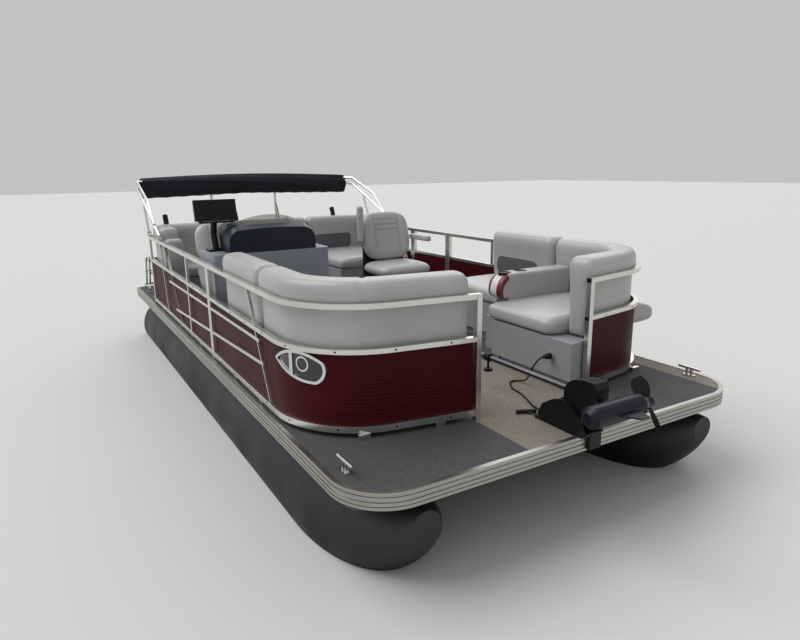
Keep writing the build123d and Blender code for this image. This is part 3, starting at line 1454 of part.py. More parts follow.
def bow_motor_drive():
    """Fixed shaft tube, the head with its depth collar and knob, and the turning pod."""
    z = SHAFT_RISE
    tail = POD_AHEAD - SHAFT_LENGTH
    neck = POD_AHEAD - POD_R - 8
    with BuildPart() as shaft:
        bar([(tail, 0, z), (neck - SEAT_GAP, 0, z)], SHAFT_R)
        bar([(neck - SPIGOT_LENGTH - 1, 0, z), (neck, 0, z)], SPIGOT_R + RUN_FIT, mode=Mode.SUBTRACT)
    stored("bow_motor_shaft", shaft)
    with BuildPart() as head:
        bar([(-COLLAR_BACK - 20, 0, z), (-COLLAR_BACK + 20, 0, z)], SHAFT_R + 10)
        bar([(-COLLAR_BACK, 0, z - 84), (-COLLAR_BACK, 0, z)], 7)
        bar([(-COLLAR_BACK, 0, z - 84), (-COLLAR_BACK, 0, z - 70)], 27)
        bar([(tail - 1, 0, z), (0, 0, z)], SHAFT_R + RUN_FIT, mode=Mode.SUBTRACT)
        with BuildSketch(Plane(origin=(tail - SEAT_GAP, 0, z), z_dir=(-1, 0, 0))) as front:
            RectangleRounded(100, 116, 26)
        with BuildSketch(Plane(origin=(tail - 120, 0, z), z_dir=(-1, 0, 0))) as back:
            RectangleRounded(78, 88, 24)
        loft([front.sketch, back.sketch])
    stored("bow_motor_head", head)
    with BuildPart() as pod:
        with BuildSketch(Plane(origin=(POD_AHEAD, 0, z), x_dir=(0, 1, 0), z_dir=(1, 0, 0))):
            with BuildLine():
                Polyline((-POD_NOSE, 0), (POD_TAIL, 0), (POD_TAIL, 38))
                Polyline((POD_TAIL, 38), (POD_TAIL - 35, POD_R), (26 - POD_NOSE, POD_R), (-POD_NOSE, POD_R - 26), (-POD_NOSE, 0))
            make_face()
        revolve(axis=Axis((POD_AHEAD, 0, z), (0, 1, 0)))
        with BuildSketch(Plane.XY.offset(z)):
            with BuildLine():
                Polyline(
                    (POD_AHEAD + 20, -95),
                    (POD_AHEAD + SKEG_REACH, -20),
                    (POD_AHEAD + SKEG_REACH, 30),
                    (POD_AHEAD + 20, 75),
                    close=True,
                )
            make_face()
        extrude(amount=4, both=True)
        bar([(POD_AHEAD, POD_TAIL - 20, z), (POD_AHEAD, POD_TAIL + 55, z)], 6)
        bar([(neck, 0, z), (POD_AHEAD, 0, z)], SHAFT_R + 7)
        bar([(neck - SPIGOT_LENGTH, 0, z), (neck + 1, 0, z)], SPIGOT_R)
    stored("bow_motor_pod", pod)


def bow_motor_propeller():
    """Two-bladed propeller on the pod's end."""
    z = SHAFT_RISE
    with BuildPart() as prop:
        hub = Plane(origin=(POD_AHEAD, POD_TAIL + 2, z), x_dir=(1, 0, 0), z_dir=(0, 1, 0))
        with BuildSketch(hub):
            Circle(SMALL_HUB_R)
        extrude(amount=48, taper=8)
        rows = ((SMALL_HUB_R - 10, 46, 8, 38), (78, 82, 6, 55), (SMALL_PROP_R, 48, 5, 66))
        for turn in (-55, 125):
            spoke = (cos(radians(turn)), 0, sin(radians(turn)))
            blade((POD_AHEAD, POD_TAIL + 27, z), (0, 1, 0), spoke, rows)
        with BuildSketch(hub.offset(-5)):
            Circle(6 + RUN_FIT)
        extrude(amount=60, mode=Mode.SUBTRACT)
    stored("bow_motor_propeller", prop)


# Route of the bow motor's lead: distance aft of the bow edge, Y, height of its centre
LEAD_R = 5
LEAD_ROUTE = (
    (624, 262, 196),
    (624, 238, 196),
    (640, 214, 160),
    (664, 206, 112),
    (694, 214, 62),
    (732, 230, 24),
    (780, 232, 8),
    (812, 200, 6),
    (798, 158, 6),
    (750, 128, 6),
    (704, 98, 6),
    (660, 96, 6),
    (600, 84, 6),
    (540, 60, 6),
    (480, 34, 6),
    (430, 12, 7),
    (380, 0, 9),
    (310.3, -4, 11),
)
SOCKET_UP = 196
SOCKET_X = 624


def lead_radii(points):
    """Largest arc at each corner of a route that its two runs allow."""
    radii = []
    for before, here, after in zip(points, points[1:], points[2:]):
        first = Vector(*here) - Vector(*before)
        second = Vector(*after) - Vector(*here)
        turn = radians(first.get_angle(second))
        radii.append(0.45 * min(first.length, second.length) / tan(turn / 2))
    return radii


def lead():
    """Socket and plug on the lounge's end, and the lead from the plug to the mount."""
    x = aft(SOCKET_X)
    z = up(SOCKET_UP)
    with BuildPart() as socket:
        with Locations(Plane(origin=(x, PORT_FRONT_Y - SEAT_GAP, z), z_dir=(0, -1, 0))):
            Cylinder(26, 10, align=(Align.CENTER, Align.CENTER, Align.MIN))
    keep("power_socket", socket)
    with BuildPart() as plug:
        with BuildSketch(Plane(origin=(x, 0, z), x_dir=(0, 1, 0), z_dir=(1, 0, 0))):
            with BuildLine():
                tip = LEAD_ROUTE[0][1]
                seat = PORT_FRONT_Y - 10 - 2 * SEAT_GAP
                Polyline((seat, 0), (seat, 18), (seat - 30, 18), (seat - 38, 12), (tip + 8, 12), (tip, 8), (tip, 0))
                Line((tip, 0), (seat, 0))
            make_face()
        revolve(axis=Axis((x, 0, z), (0, 1, 0)))
    keep("power_plug", plug)
    points = [(aft(a), y, up(h)) for a, y, h in LEAD_ROUTE]
    radii = lead_radii(points)
    with BuildPart() as cord:
        with BuildLine() as path:
            FilletPolyline(*points, radius=radii)
        with BuildSketch(Plane(origin=path.line @ 0, z_dir=path.line % 0)) as section:
            Circle(LEAD_R)
        sweep(section.sketch, path=path.line)
    keep("bow_motor_lead", cord)


def join(label, *names):
    """Put like pieces of one body into one node, as solids that don't touch."""
    with BuildPart() as group:
        for name in names:
            add(pieces.pop(name).part)
    keep(label, group)


keep("pontoon_starboard", pontoon(-1))
keep("pontoon_port", pontoon(1))
keep("cross_members", cross_members())
keep("deck_board", deck_board())
keep("deck_trim", deck_trim())
keep("motor_mount", motor_mount())
keep("cleats", cleats())
keep("fence_starboard", fence_bow(-1, RUN_STARBOARD, SIDE_POST))
keep("fence_port", fence_bow(1, RUN_PORT, GATE_FRONT))
keep("fence_aft_starboard", fence_aft_starboard())
keep("fence_stern", fence_stern())
keep("fence_aft_port", fence_aft_port())
keep("panel_starboard", panel(RUN_STARBOARD, [FENCE_BEND_R], -1, POST_W + 4, POST_W + 1))
keep("panel_port", panel(RUN_PORT, [FENCE_BEND_R], 1, POST_W + 4, POST_W + 1))
keep("panel_stern", panel(RUN_STERN, [STERN_BEND_R, STERN_BEND_R], -1, POST_W + 2, POST_W + 1))
gate_frame, gate_panel = side_gate()
keep("gate_frame", gate_frame)
keep("gate_panel", gate_panel)
for side, name, run, gate_y in (
    (-1, "starboard", RUN_STARBOARD, GATE_Y_STARBOARD),
    (1, "port", RUN_PORT, GATE_Y_PORT),
):
    bright, dark = docking_light(side, run, gate_y)
    keep("light_" + name, bright)
    keep("lens_" + name, dark)
join("docking_lights", "light_starboard", "light_port")
join("docking_lenses", "lens_starboard", "lens_port")
lounge_starboard()
lounge_port()
lounge_stern()
join("lounge_starboard_cushions", "lounge_starboard_seats", "lounge_starboard_backs")
join("lounge_port_cushions", "lounge_port_seats", "lounge_port_backs")
join("lounge_stern_cushions", "lounge_stern_seats", "lounge_stern_backs", "lounge_stern_bolster")
console()
helm_wheel()
chair_post("helm_post", HELM_X, HELM_Y)
chair_seat("helm_chair", HELM_X, HELM_Y, 850)
chair_post("captain_post", CAPTAIN_X, CAPTAIN_Y)
chair_seat("captain_chair", CAPTAIN_X, CAPTAIN_Y, CHAIR_BACK_TOP)
join("chair_posts", "helm_post", "captain_post")
join("helm_chair_cushions", "helm_chair_seat", "helm_chair_back")
join("captain_chair_cushions", "captain_chair_seat", "captain_chair_back")
chair_arm("captain_arm_port", CAPTAIN_X, CAPTAIN_Y, 1, False)
chair_arm("captain_arm_starboard", CAPTAIN_X, CAPTAIN_Y, -1, True)
canopy()
tow_hoop()
rod_holders()
ladder()
join("fittings", "cleats", "ladder_brackets", "canopy_hinges")
outboard()
join("outboard_drive", "outboard_leg", "outboard_gearcase", "outboard_pan")
bow_motor_mount()
bow_motor_carriage()
bow_motor_drive()
bow_motor_propeller()
lead()
join("lounge_port_base", "lounge_port_base", "power_socket")

os.makedirs("parts", exist_ok=True)
for label, piece in pieces.items():
    piece.part.label = label
    export_step(piece.part, f"parts/{label}.step")
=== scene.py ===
"""Looks of a two-tube pontoon boat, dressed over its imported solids."""

import logging
import math
from dataclasses import dataclass, field
from enum import Enum
from typing import Callable, Iterable, Sequence

import bmesh
import bpy
import numpy as np
from mathutils import Matrix, Vector


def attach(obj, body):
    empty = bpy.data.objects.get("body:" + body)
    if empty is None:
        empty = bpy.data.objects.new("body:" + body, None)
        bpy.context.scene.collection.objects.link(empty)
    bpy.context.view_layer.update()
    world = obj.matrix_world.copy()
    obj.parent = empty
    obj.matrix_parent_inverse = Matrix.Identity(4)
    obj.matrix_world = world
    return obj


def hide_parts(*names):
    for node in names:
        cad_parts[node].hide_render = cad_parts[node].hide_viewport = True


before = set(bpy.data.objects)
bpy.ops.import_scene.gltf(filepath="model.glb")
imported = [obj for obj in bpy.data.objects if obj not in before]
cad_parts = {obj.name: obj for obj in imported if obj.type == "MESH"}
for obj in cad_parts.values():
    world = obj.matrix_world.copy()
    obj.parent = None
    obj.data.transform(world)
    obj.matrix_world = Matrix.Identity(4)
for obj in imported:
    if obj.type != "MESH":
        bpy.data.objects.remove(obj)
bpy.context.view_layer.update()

LOG = logging.getLogger("pontoon_boat")

# Places that the solids' source also names, in metres
BOW_X = 3.283
DECK_Z = 0.760
WATERLINE = 0.230
FENCE_Y = 1.245
FENCE_R = 0.5
STERN_R = 0.09
FENCE_END = 4.707
RAIL_TOP = 0.680
MID_TOP = 0.455
BASE_H = 0.300
SEAT_TOP = 0.430
BACK_TOP = 0.785
SPLIT_STARBOARD = 1.335
END_STARBOARD = 2.060
SPLIT_GAP = 0.015
GATE_STARBOARD = 0.343
GATE_PORT = 0.433
BESIDE_POST = 0.04
END_PORT = 2.12


def aft(distance: float) -> float:
    """X of a place that lies a distance aft of the deck's bow edge."""
    return BOW_X - distance


def up(height: float) -> float:
    """Z of a height above the deck's top."""
    return DECK_Z + height


# Materials


class Grain(Enum):
    """How a finish's surface was made, which decides its pattern of nodes."""

    VINYL = "embossed vinyl"
    BRUSHED = "extruded and satin etched"
    # Mill aluminium whose colour darkens near the waterline
    WEATHERED = "mill aluminium darker towards the waterline"
    RIBBED = "roll-formed sheet with fine ribs"
    MOULDED = "moulded with a fine texture"
    POLISHED = "smooth gloss"
    DECK = "woven vinyl deck sheet"
    CANVAS = "woven acrylic canvas"
    CLEAR = "clear or smoked sheet"
    STRIPED = "vinyl with three inlaid bands over one end"


def srgb(code: str) -> tuple[float, float, float, float]:
    """Linear colour of an sRGB hex code.

    Args:
        code: six hex digits.

    Returns:
        Red, green, blue in linear light and an alpha of 1.
    """
    parts = np.array([int(code[i : i + 2], 16) for i in (0, 2, 4)]) / 255
    linear = np.where(parts <= 0.04045, parts / 12.92, ((parts + 0.055) / 1.055) ** 2.4)
    return (*linear.tolist(), 1.0)


Tree = bpy.types.NodeTree
Socket = bpy.types.NodeSocket

# A wave texture's scale is this share of the grains in a metre; its bands lie 1.97 grains apart
WAVE_SHARE = 1 / 6.2832
RIB_SHARE = 0.15915

# Painted sunlight on the deck sheet: half the width and the aft end of the middle strip lit between the
# fences' painted shadows, and the lit port border
SUNLIT_STRIP_HALF = 0.375
SUNLIT_STRIP_END = 1.28
SUNLIT_BORDER_Y = 1.135


def add_node(tree: Tree, kind: str, inputs: dict | None = None) -> bpy.types.Node:
    """Adds one node, with its settings and the links into it.

    Args:
        tree: the material's node tree.
        kind: Blender's name of the node type, without its first word ShaderNode.
        inputs: input sockets by name or number, or properties of the node, each with its value
            or with the output socket that feeds it.

    Returns:
        The node.
    """
    node = tree.nodes.new(f"ShaderNode{kind}")
    for key, value in (inputs or {}).items():
        if isinstance(value, Socket):
            tree.links.new(value, node.inputs[key])
        elif isinstance(key, int) or key in node.inputs:
            node.inputs[key].default_value = value
        else:
            setattr(node, key, value)
    return node


def maths(tree: Tree, operation: str, *values: Socket | float) -> Socket:
    """Result of one math node on sockets or numbers."""
    return add_node(tree, "Math", {"operation": operation, **dict(enumerate(values))}).outputs[0]


def ranged(
    tree: Tree, value: Socket, low: float, high: float, start: float = 0.0, end: float = 1.0
) -> Socket:
    """A value between low and high, mapped to between start and end."""
    limits = {"From Min": low, "From Max": high, "To Min": start, "To Max": end}
    return add_node(tree, "MapRange", {**limits, "Value": value}).outputs[0]


def noise(tree: Tree, place: Socket, scale: float, detail: float, rough: float = 0.5) -> Socket:
    """A noise texture's value at a place."""
    inputs = {"Scale": scale, "Detail": detail, "Roughness": rough, "Vector": place}
    return add_node(tree, "TexNoise", inputs).outputs[0]


def wave(tree: Tree, place: Socket, direction: str, scale: float) -> Socket:
    """A sine wave texture's value at a place, in bands that follow each other in a direction."""
    inputs = {"bands_direction": direction, "Scale": scale, "Vector": place}
    return add_node(tree, "TexWave", inputs).outputs[1]


def blend(tree: Tree, share: Socket, first: Socket | tuple, second: Socket | tuple) -> Socket:
    """A colour mixed from the first toward the second by a share."""
    return add_node(tree, "Mix", {"data_type": "RGBA", 0: share, 6: first, 7: second}).outputs[2]


def inside(tree: Tree, value: Socket, low: float, high: float) -> Socket:
    """A socket of 1 where a value lies between two limits, and of 0 elsewhere."""
    above, below = maths(tree, "GREATER_THAN", value, low), maths(tree, "LESS_THAN", value, high)
    return maths(tree, "MULTIPLY", above, below)


@dataclass(frozen=True)
class Finish:
    """One real finish: its colours, gloss, and a pattern sized in millimetres."""

    name: str
    colour: str
    shade: str
    grain: Grain
    rough: float = 0.5
    spread: float = 0.06
    metallic: float = 0.0
    grain_mm: float = 2.0
    relief_mm: float = 0.1
    coat: float = 0.0
    ior: float = 1.5
    alpha: float = 1.0
    sheen: float = 0.0

    def material(self) -> bpy.types.Material:
        """Builds the finish as a node material, once.

        Returns:
            The material.
        """
        made = bpy.data.materials.get(self.name)
        if made:
            return made
        made = bpy.data.materials.new(self.name)
        made.use_nodes = True
        tree = made.node_tree
        tree.nodes.clear()
        place = add_node(tree, "TexCoord").outputs["Object"]
        colour, height = self.pattern(tree, place)
        patchy = noise(tree, place, 3.0, 4.0)
        inputs = {
            "Metallic": self.metallic,
            "Coat Weight": self.coat,
            "Coat Roughness": 0.12,
            "Alpha": self.alpha,
            "Sheen Weight": self.sheen,
            "Sheen Roughness": 0.4,
            "Roughness": ranged(tree, patchy, 0.3, 0.7, self.rough - self.spread, self.rough + self.spread),
            "Base Color": colour,
        }
        if not self.metallic:
            inputs["IOR"] = self.ior
        if self.grain is Grain.CLEAR:
            inputs["Transmission Weight"] = 0.85
        if height is not None:
            bump = {"Strength": 1.0, "Distance": self.relief_mm / 1000, "Height": height}
            inputs["Normal"] = add_node(tree, "Bump", bump).outputs[0]
        shader = add_node(tree, "BsdfPrincipled", inputs)
        add_node(tree, "OutputMaterial", {"Surface": shader.outputs[0]})
        return made

    def mixed(self, tree: Tree, share: Socket) -> Socket:
        """The finish's colour, mixed toward its shade by a share."""
        return blend(tree, share, srgb(self.colour), srgb(self.shade))

    def sunlit_and_shaded(self, tree: Tree, place: Socket, fleck: Socket) -> Socket:
        """Deck sheet as lit and shaded copies of one tone: painted fence shadow on the dark fields, painted
        sunlight on a light strip in the middle and a light port border.

        Args:
            tree: the material's node tree.
            place: Object coordinates' socket.
            fleck: socket of the yarns' share of the darker shade.

        Returns:
            The colour's socket.
        """
        parts = add_node(tree, "SeparateXYZ", {0: place}).outputs
        # Painted sunlight falls on the middle strip ahead of the gateway and on the port border; the rest
        # shows the sheet in painted fence shadow
        across = inside(tree, parts[1], -SUNLIT_STRIP_HALF, SUNLIT_STRIP_HALF)
        ahead = inside(tree, parts[0], aft(SUNLIT_STRIP_END), aft(-1.0))
        border = inside(tree, parts[1], SUNLIT_BORDER_Y, 2.0)
        light = maths(tree, "MAXIMUM", maths(tree, "MULTIPLY", across, ahead), border)
        # A paler, browner copy of the sheet's colours, as painted sunlight
        pale = blend(tree, fleck, srgb("8A8378"), srgb("6F695F"))
        return blend(tree, light, self.mixed(tree, fleck), pale)

    def banded(self, tree: Tree, place: Socket, share: Socket) -> Socket:
        """Vinyl with a maroon, a white and a maroon band over the armrest's inboard end.

        Args:
            tree: the material's node tree.
            place: Object coordinates' socket.
            share: socket of the base colour's share of its shade.

        Returns:
            The colour's socket.
        """
        parts = add_node(tree, "SeparateXYZ", {0: place}).outputs
        # Distance from a line along the boat through the middle of the rounded end
        flat = {"Location": (0, -0.510, -up(0.478)), "Scale": (0, 1, 1), "Vector": place}
        flat = add_node(tree, "Mapping", flat).outputs[0]
        reach = add_node(tree, "VectorMath", {"operation": "LENGTH", 0: flat}).outputs[1]
        rim = maths(tree, "MULTIPLY", inside(tree, reach, 0.090, 1.0), inside(tree, parts[1], 0.0, 0.470))
        rim = maths(tree, "MULTIPLY", rim, inside(tree, parts[2], up(0.425), up(1.0)))
        colour = self.mixed(tree, share)
        for start, end, code in ((1.34, 1.17, "641320"), (1.294, 1.230, "CFCECC")):
            here = maths(tree, "MULTIPLY", inside(tree, parts[0], aft(start), aft(end)), rim)
            colour = blend(tree, here, colour, srgb(code))
        return colour

    def pattern(self, tree: Tree, place: Socket) -> tuple[Socket, Socket | None]:
        """The finish's colour and relief.

        Args:
            tree: the material's node tree.
            place: Object coordinates' socket.

        Returns:
            The colour's socket, and the height's socket or None.
        """
        per_metre = 1000 / self.grain_mm
        bands = per_metre * WAVE_SHARE
        cloud = noise(tree, place, 2.2, 5.0)
        if self.grain in (Grain.VINYL, Grain.STRIPED):
            cells = add_node(tree, "TexVoronoi", {"Scale": per_metre, "Vector": place}).outputs[0]
            if self.grain is Grain.STRIPED:
                return self.banded(tree, place, cloud), cells
            return self.mixed(tree, ranged(tree, cloud, 0.35, 0.75)), cells
        if self.grain is Grain.BRUSHED:
            long = add_node(tree, "Mapping", {"Scale": (4, 4, 4), "Vector": place}).outputs[0]
            return self.mixed(tree, cloud), noise(tree, long, per_metre / 4, 2.0, 0.7)
        if self.grain is Grain.WEATHERED:
            # Mixed toward the shade colour from about 0.3 m above the waterline down, under a cloudy noise:
            # darker towards the bottom
            height = add_node(tree, "SeparateXYZ", {0: place}).outputs[2]
            near_waterline = ranged(tree, height, WATERLINE - 0.05, WATERLINE + 0.30, 1.0, 0.0)
            darkening = ranged(tree, maths(tree, "MULTIPLY_ADD", cloud, 0.9, near_waterline), 0.35, 1.25)
            return self.mixed(tree, darkening), noise(tree, place, per_metre, 3.0)
        if self.grain is Grain.RIBBED:
            return self.mixed(tree, cloud), wave(tree, place, "Z", per_metre * RIB_SHARE)
        if self.grain is Grain.DECK:
            warp, weft = wave(tree, place, "X", bands * 0.5), wave(tree, place, "Y", bands)
            fleck = ranged(tree, noise(tree, place, 160.0, 2.0), 0.38, 0.62)
            # The sheet's two tones are painted sunlight and painted fence shadow
            return self.sunlit_and_shaded(tree, place, fleck), maths(tree, "MULTIPLY", warp, weft)
        if self.grain is Grain.CANVAS:
            return self.mixed(tree, ranged(tree, cloud, 0.3, 0.8)), wave(tree, place, "DIAGONAL", bands)
        if self.grain is Grain.CLEAR:
            return self.mixed(tree, cloud), None
        return self.mixed(tree, cloud), noise(tree, place, per_metre, 3.0)


# Marine vinyl on foam: a calendered sheet embossed with a fine pebble, a soft satin gloss
SEAT_VINYL = Finish("marine vinyl, grey", "AAA9A8", "9B9A99", Grain.VINYL, 0.36, 0.05, 0, 2.2, 0.12, 0.06)
# The same vinyl in charcoal, for the insets of two backs
DARK_VINYL = Finish("marine vinyl, charcoal", "56575B", "4A4B4F", Grain.VINYL, 0.45, 0.05, 0, 2.2, 0.12, 0.05)
# The armrest's cover, with inlaid bands over its end
ARM_VINYL = Finish("marine vinyl, inlaid", "AAA9A8", "9B9A99", Grain.STRIPED, 0.36, 0.05, 0, 2.2, 0.12, 0.06)
# Welt cord sewn round the insets, nearly black
WELT = Finish("sewn vinyl welt", "2E2F33", "25262A", Grain.VINYL, 0.4, 0.05, 0, 1.5, 0.05)
# Rotomoulded polyethylene bases: soft, faintly textured, no clear gloss
BASE_PLASTIC = Finish(
    "rotomoulded polyethylene, grey", "929296", "85858A", Grain.MOULDED, 0.55, 0.05, 0, 1.8, 0.1
)
# The console's moulding, a little bluer and smoother
CONSOLE_PLASTIC = Finish(
    "moulded console, cool grey", "888C94", "7C8088", Grain.MOULDED, 0.5, 0.05, 0, 1.8, 0.06
)
# Satin anodised extrusions: fine long scratches and a broad highlight
RAIL_METAL = Finish("satin anodised aluminium", "E4E2DD", "C6C4C0", Grain.BRUSHED, 0.26, 0.06, 1, 0.8, 0.02)
# The deck's edge extrusion, duller than the rails
TRIM_METAL = Finish("mill finished extrusion", "B9B7B1", "9B9993", Grain.BRUSHED, 0.34, 0.06, 1, 0.8, 0.02)
# Mill aluminium of the frame under the deck
FRAME_METAL = Finish("mill aluminium", "8A8A8C", "6E6E70", Grain.BRUSHED, 0.45, 0.08, 1, 1.0, 0.03)
# The tubes: dull oxide, with both colours darkened as painted shade, and darker and browner towards the
# waterline
TUBE_METAL = Finish(
    "weathered mill aluminium", "37393B", "141312", Grain.WEATHERED, 0.55, 0.1, 0.5, 9.0, 0.3, 0.0, 1.3
)
# Coil-coated sheet with rolled ribs about 20 mm apart; satin, so that low light doesn't wash it out; a real
# maroon, darkened toward the tone it has in shade as painted shade
PANEL_PAINT = Finish(
    "coil-coated ribbed sheet, maroon", "43070D", "320509", Grain.RIBBED, 0.48, 0.05, 0, 10.0, 0.7, 0.0, 1.2
)
# Woven vinyl flooring: a relief of bands about 10 and 20 mm apart, under finer flecks; these dark colours are
# the sheet in painted fence shadow, with painted sunlight as a paler copy
DECK_SHEET = Finish("woven vinyl deck sheet", "4C4C4F", "3A3A3D", Grain.DECK, 0.8, 0.05, 0, 5.0, 0.5)
# Polished trim of the lamps
CHROME = Finish("polished stainless", "DDDDDE", "C9C9CB", Grain.POLISHED, 0.12, 0.03, 1, 3.0, 0.005)
# Injection-moulded black ABS with a light texture
BLACK_ABS = Finish("textured black ABS", "121315", "0B0C0E", Grain.MOULDED, 0.5, 0.06, 0, 1.2, 0.08, ior=1.3)
# Gloss gelcoat of the console's hood, a navy that reads nearly black
HOOD_GEL = Finish("navy gelcoat", "101828", "0C1220", Grain.POLISHED, 0.34, 0.04, 0, 8.0, 0.01, 0.0, 1.35)
# Solution-dyed acrylic canvas of the folded canopy's boot
BOOT_CANVAS = Finish(
    "woven acrylic canvas, black navy", "12151D", "0B0D14", Grain.CANVAS, 0.9, 0.05, 0, 2.5, 0.15
)
# Smoked acrylic of the low windscreen
SMOKED = Finish(
    "smoked acrylic", "7B8470", "6D7662", Grain.CLEAR, 0.05, 0.02, 0, 5.0, 0.0, ior=1.49, alpha=0.5
)
# Dark polycarbonate in front of the docking lamps
LAMP_LENS = Finish(
    "dark polycarbonate lens", "15181A", "0D0F10", Grain.POLISHED, 0.08, 0.02, 0, 5.0, 0.0, 0.6
)
# Gloss enamel of the outboard, and satin powder coat of the brackets and the bow motor's mount
MOTOR_PAINT = Finish(
    "gloss black enamel", "101113", "0A0B0C", Grain.POLISHED, 0.25, 0.05, 0, 6.0, 0.02, 0.12, 1.4
)
MOTOR_SATIN = Finish(
    "satin black powder coat", "101113", "0A0B0C", Grain.MOULDED, 0.38, 0.06, 0, 1.5, 0.05, ior=1.35
)
# Enamel of the bow motor's pod, a blue black
POD_PAINT = Finish(
    "navy black enamel", "0F1420", "0A0E17", Grain.POLISHED, 0.36, 0.05, 0, 6.0, 0.02, 0.0, 1.35
)
# Dulled stainless tube of the bow motor's shaft
SHAFT_STEEL = Finish("dull stainless tube", "6C6D70", "4E4F52", Grain.BRUSHED, 0.3, 0.05, 1, 0.6, 0.01)
# Moulded rubber and flexible cable jacket
RUBBER = Finish("black rubber", "141414", "0E0E0E", Grain.MOULDED, 0.65, 0.05, 0, 1.2, 0.05, ior=1.35)
# Blackened screws of the fence
SCREW_STEEL = Finish("black oxide screw", "1B1B1C", "121213", Grain.MOULDED, 0.4, 0.05, 1, 1.0, 0.02)
# Rough casting of the closed engine block
CAST_IRON = Finish("cast iron", "3A3A3B", "2B2B2C", Grain.MOULDED, 0.7, 0.05, 1, 3.0, 0.2)

NODE_FINISHES: dict[Finish, tuple[str, ...]] = {
    TUBE_METAL: ("pontoon_",),
    FRAME_METAL: ("cross_members", "motor_mount"),
    DECK_SHEET: ("deck_board",),
    TRIM_METAL: ("deck_trim",),
    RAIL_METAL: (
        "fence_", "gate_frame", "chair_posts", "canopy_bows", "canopy_struts", "tow_hoop", "fittings",
        "ladder_",
    ),
    PANEL_PAINT: ("panel_", "gate_panel"),
    CHROME: ("docking_lights",),
    LAMP_LENS: ("docking_lenses",),
    BLACK_ABS: (
        "rod_holders", "fish_finder", "helm_chair_shell", "captain_chair_shell", "bow_motor_head",
        "bow_motor_propeller",
    ),
    BASE_PLASTIC: ("lounge_starboard_base", "lounge_port_base", "lounge_stern_base"),
    ARM_VINYL: ("lounge_port_armrest",),
    CONSOLE_PLASTIC: ("console_base",),
    HOOD_GEL: ("console_hood",),
    SMOKED: ("windscreen",),
    RUBBER: ("helm_wheel", "power_plug"),
    MOTOR_SATIN: ("outboard_bracket", "outboard_swivel", "bow_motor_mount", "bow_motor_carriage"),
    MOTOR_PAINT: ("outboard_drive", "outboard_cowl", "outboard_propeller"),
    CAST_IRON: ("outboard_engine",),
    SHAFT_STEEL: ("bow_motor_shaft",),
    POD_PAINT: ("bow_motor_pod",),
}


def dress_nodes() -> None:
    """Gives every shown CAD node the finish of its material."""
    for name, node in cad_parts.items():
        for finish, starts in NODE_FINISHES.items():
            if name.startswith(starts):
                node.data.materials.clear()
                node.data.materials.append(finish.material())
                polygons = node.data.polygons
                polygons.foreach_set("material_index", np.zeros(len(polygons), dtype=np.int32))
                break


# Surfaces

# A surface's points (n, 3), and its faces as lists of point numbers
Surface = tuple[np.ndarray, list[list[int]]]


def piece(name: str, parts: Iterable[Surface], finish: Finish, body: str) -> bpy.types.Object:
    """Makes one object of the scene from surfaces.

    Args:
        name: the piece's name.
        parts: its surfaces.
        finish: its finish.
        body: the CAD body that it rides on.

    Returns:
        The new object.
    """
    points, faces, start = [], [], 0
    for vertices, polygons in parts:
        points.append(vertices)
        faces.extend([corner + start for corner in row] for row in polygons)
        start += len(vertices)
    mesh = bpy.data.meshes.new(name)
    mesh.from_pydata(np.concatenate(points).tolist(), [], faces)
    mesh.update()
    mesh.polygons.foreach_set("use_smooth", np.ones(len(mesh.polygons), dtype=bool))
    mesh.materials.append(finish.material())
    made = bpy.data.objects.new(name, mesh)
    bpy.context.scene.collection.objects.link(made)
    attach(made, body)
    LOG.info("%s: %d faces on %s", name, len(faces), body)
    return made


def capped(grid: np.ndarray) -> Surface:
    """Closes a grid whose rows are loops, with a pole at each end.

    Args:
        grid: points of shape (rows, columns, 3).

    Returns:
        The surface: its quads, then the triangles round both poles.
    """
    rows, columns, _ = grid.shape
    points = np.concatenate([grid.reshape(-1, 3), grid[0].mean(0)[None], grid[-1].mean(0)[None]])
    row = np.arange(rows - 1)[:, None] * columns
    step = np.arange(columns)
    after = (step + 1) % columns
    corners = [row + step, row + after, row + columns + after, row + columns + step]
    quads = np.stack(corners, -1).reshape(-1, 4)
    base = (rows - 1) * columns
    first = np.stack([np.full(columns, rows * columns), after, step], -1)
    last = np.stack([np.full(columns, rows * columns + 1), base + step, base + after], -1)
    return points, [*quads.tolist(), *first.tolist(), *last.tolist()]


def superellipse(count: int, power: float) -> tuple[np.ndarray, np.ndarray]:
    """A closed loop between an ellipse and a box.

    Each coordinate is the sign of the cosine or sine, times its size raised to two over the power.

    Args:
        count: points round the loop.
        power: 2 for an ellipse, larger for a box with rounder corners.

    Returns:
        The two coordinates, each from -1 to 1.
    """
    turn = np.linspace(0, 2 * np.pi, count, endpoint=False) + np.pi / count
    a, b = np.cos(turn), np.sin(turn)
    return np.sign(a) * np.abs(a) ** (2 / power), np.sign(b) * np.abs(b) ** (2 / power)


